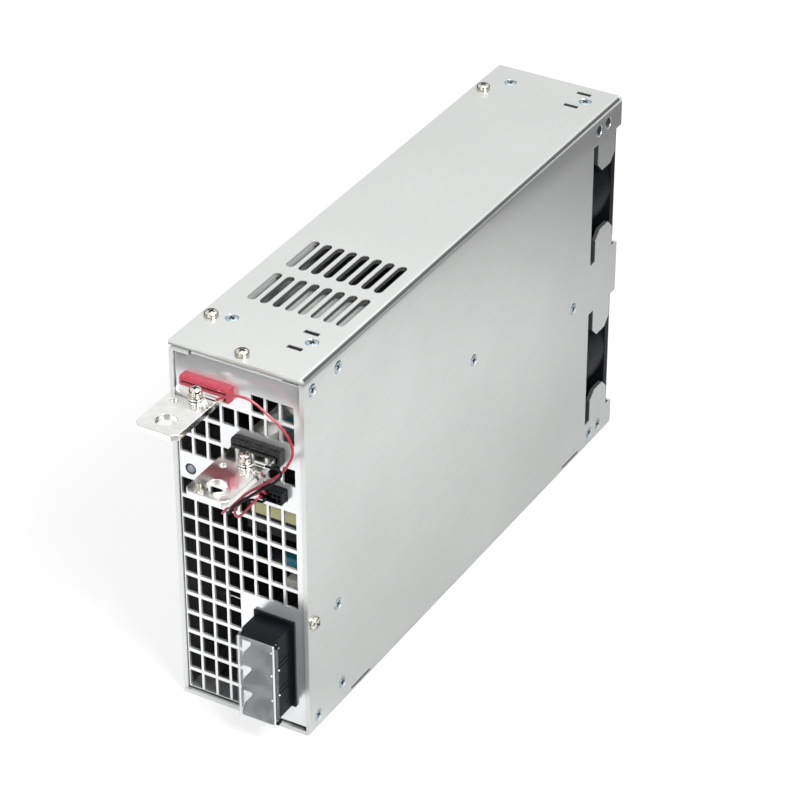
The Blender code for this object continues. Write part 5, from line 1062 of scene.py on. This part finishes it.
def add_loop(shape, profile, steps, centre):
    """Closed profile (radius, height) turned about an axis along X."""
    rings = []
    for step in range(steps):
        turn = 2 * math.pi * step / steps
        rings.append([
            shape.verts.new((centre.x + height * MM, centre.y + radius * MM * math.cos(turn),
                             centre.z + radius * MM * math.sin(turn)))
            for radius, height in profile
        ])
    for index, near in enumerate(rings):
        far = rings[(index + 1) % steps]
        for step in range(len(profile)):
            after = (step + 1) % len(profile)
            shape.faces.new((near[step], near[after], far[after], far[step]))
    bmesh.ops.recalc_face_normals(shape, faces=shape.faces)


# Small parts on the board: low Y, low Z, size along Y, size along Z, height from the board, look
BOARD_PARTS = (
    (-123.5, 72.2, 7.0, 4.6, 13.5, "teal_film"), (-123.0, 61.2, 5.5, 4.0, 13.0, "pale_part"),
    (-121.0, 120.0, 9.0, 12.0, 9.0, "black_plastic"), (-122.0, 136.0, 7.0, 5.0, 15.0, "teal_film"),
    (-122.0, 150.0, 9.0, 7.0, 7.0, "black_plastic"), (-108.0, 134.0, 12.0, 6.0, 11.0, "winding_tape"),
    (-120.0, 30.0, 14.0, 9.0, 12.0, "teal_film"), (-102.0, 14.0, 18.0, 10.0, 16.0, "winding_tape"),
    (-58.0, 20.0, 16.0, 22.0, 14.0, "black_plastic"), (-36.0, 24.0, 8.0, 12.0, 9.0, "pale_part"),
    (-20.0, 18.0, 22.0, 8.0, 12.0, "teal_film"), (8.0, 26.0, 10.0, 10.0, 8.0, "black_plastic"),
    (86.0, 30.0, 10.0, 16.0, 10.0, "pale_part"), (60.0, 72.0, 14.0, 9.0, 12.0, "teal_film"),
    (-50.0, 66.0, 9.0, 9.0, 9.0, "black_plastic"), (-52.0, 84.0, 12.0, 18.0, 7.0, "black_plastic"),
)
BOARD_CANS = (
    (-112.0, 66.5, 5.0, 24.0), (-84.0, 64.0, 5.0, 20.0), (-70.0, 64.0, 5.0, 20.0), (-113.0, 128.0, 4.0, 11.0),
    (-96.0, 140.0, 5.0, 16.0), (-96.0, 153.0, 5.0, 16.0), (70.0, 92.0, 4.0, 11.0), (82.0, 92.0, 4.0, 11.0),
)
STRAP = ((-26.0, 24.0), (-123.6, -122.4), (46.2, 47.0))


def board_parts():
    """Film capacitors, chips, small cans and a plated strap that show through the grille and vents."""
    face = span("main_board", 0)[0] + 0.02 * MM
    shapes = {}
    for y, z, wide, high, tall, finish in BOARD_PARTS:
        shape = shapes.setdefault(finish, bmesh.new())
        add_slab(shape, (face - tall * MM, face), (y * MM, (y + wide) * MM),
                 (z * MM, (z + high) * MM), 0.5 * MM)
    cans = shapes.setdefault("capacitor_sleeve", bmesh.new())
    caps = shapes.setdefault("aluminium", bmesh.new())
    for y, z, radius, tall in BOARD_CANS:
        where = Matrix.Translation((face, y * MM, z * MM)) @ Matrix.Rotation(math.radians(-90.0), 4, "Y")
        add_turned(cans, [(0, 0), (radius, 0), (radius, 1.2), (radius - 0.4, 1.8), (radius, 2.4),
                          (radius, tall - 0.6), (radius - 0.5, tall), (0, tall)], 32, where)
        rim = radius - 0.9
        add_turned(caps, [(0, tall - 0.2), (rim, tall - 0.2), (rim, tall + 0.1), (0, tall + 0.1)], 32, where)
    strap = shapes.setdefault("tinned_copper", bmesh.new())
    add_slab(strap, *[(low * MM, high * MM) for low, high in STRAP], 0.15 * MM)
    for finish, shape in shapes.items():
        piece = added(f"board_parts_{finish}", as_mesh(shape, f"board_parts_{finish}", 40.0), finish)
        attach(piece, bodies["main_board"])


def thin_cover_sides():
    """The clear cover's sides let more light through than its front."""
    mesh = bpy.data.objects["mains_terminal_cover_finished"].data
    mesh.materials.append(looks["clear_rim"])
    for face in mesh.polygons:
        if abs(face.normal.x) > 0.6:
            face.material_index = 1


# Clear cover: radius and places of its polished edges, drawn as near-white rods that paint their highlight,
# then its small clips with the same painted glint, one row for each barrier
EDGE_RADIUS = 0.45 * MM
LEFT_EDGE_INSET = 3.1 * MM
RIGHT_EDGE_INSET = 0.35 * MM
RIGHT_EDGE_BEHIND = 1.2 * MM
CLIP_HEIGHTS = (0.0523, 0.0405, 0.0276)
CLIP_PROFILE = [(0, -0.3), (0.45, -0.3), (0.45, -0.1)] + dome(0.45, -0.1, 0.18)
FLANK_CLIP_BEHIND = 4.95 * MM
FRONT_CLIP_INSET = 0.7 * MM


def cover_edge_highlights():
    """Polished edges and clips of the clear mains cover, in a near-white, mostly opaque finish that paints
    their highlight and glints.
    """
    node = "mains_terminal_cover"
    low, high = boxes[node]
    rods = bmesh.new()
    near, far = low[2] + EDGE_RADIUS, high[2] - EDGE_RADIUS
    for x, y in ((low[0] + LEFT_EDGE_INSET + EDGE_RADIUS, low[1] + EDGE_RADIUS),
                 (high[0] - RIGHT_EDGE_INSET, low[1] + RIGHT_EDGE_BEHIND)):
        tube(rods, [(x, y, near), (x, y, (near + far) / 2), (x, y, far)], EDGE_RADIUS, 10)
    for height in CLIP_HEIGHTS:
        for place, direction in (((high[0], low[1] + FLANK_CLIP_BEHIND, height), (1, 0, 0)),
                                 ((high[0] - FRONT_CLIP_INSET, low[1], height), (0, -1, 0))):
            turn = Vector(direction).to_track_quat("Z", "Y").to_matrix().to_4x4()
            add_turned(rods, CLIP_PROFILE, 16, Matrix.Translation(place) @ turn)
    piece = added("mains_cover_edge_highlights", as_mesh(rods, "mains_cover_edge_highlights", 50.0), "painted_edge_highlight")
    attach(piece, bodies[node])


def dress_nodes():
    """Give every CAD node that stays its procedural finish."""
    for name, node in nodes.items():
        node.data.materials.clear()
        node.data.materials.append(looks[slots[name]])


bpy.context.scene.view_settings.view_transform = "Standard"
looks = make_looks()
make_camera()
make_world()
make_floor()
for row in LAMPS:
    area_lamp(*row)
dress_nodes()
for name in ("chassis_shell", "side_cover", "rear_panel", "front_panel"):
    finished(name, 0.12 * MM)
for name in ("positive_busbar", "negative_busbar"):
    finished(name, 0.3 * MM, segments=3)
finished("positive_insulator", 0.25 * MM)
finished("negative_insulator", 0.25 * MM, look="gloss_black")
finished("mains_terminal_block", 0.25 * MM)
for name in ("signal_connector", "positive_sense_lug", "negative_sense_lug", "mains_terminal_cover",
             "mains_contact_1", "mains_contact_2", "mains_contact_3"):
    finished(name, 0.12 * MM)
thin_cover_sides()
finished("output_heatsink", 0.25 * MM, look="pale_plate")
for name in ("switch_heatsink", "transformer_core", "transformer_winding"):
    finished(name, 0.25 * MM)
fans()
capacitors()
chokes()
board_parts()
cover_edge_highlights()
case_screws()
sense_screws()
mains_screws()
sense_wires()
lamp()
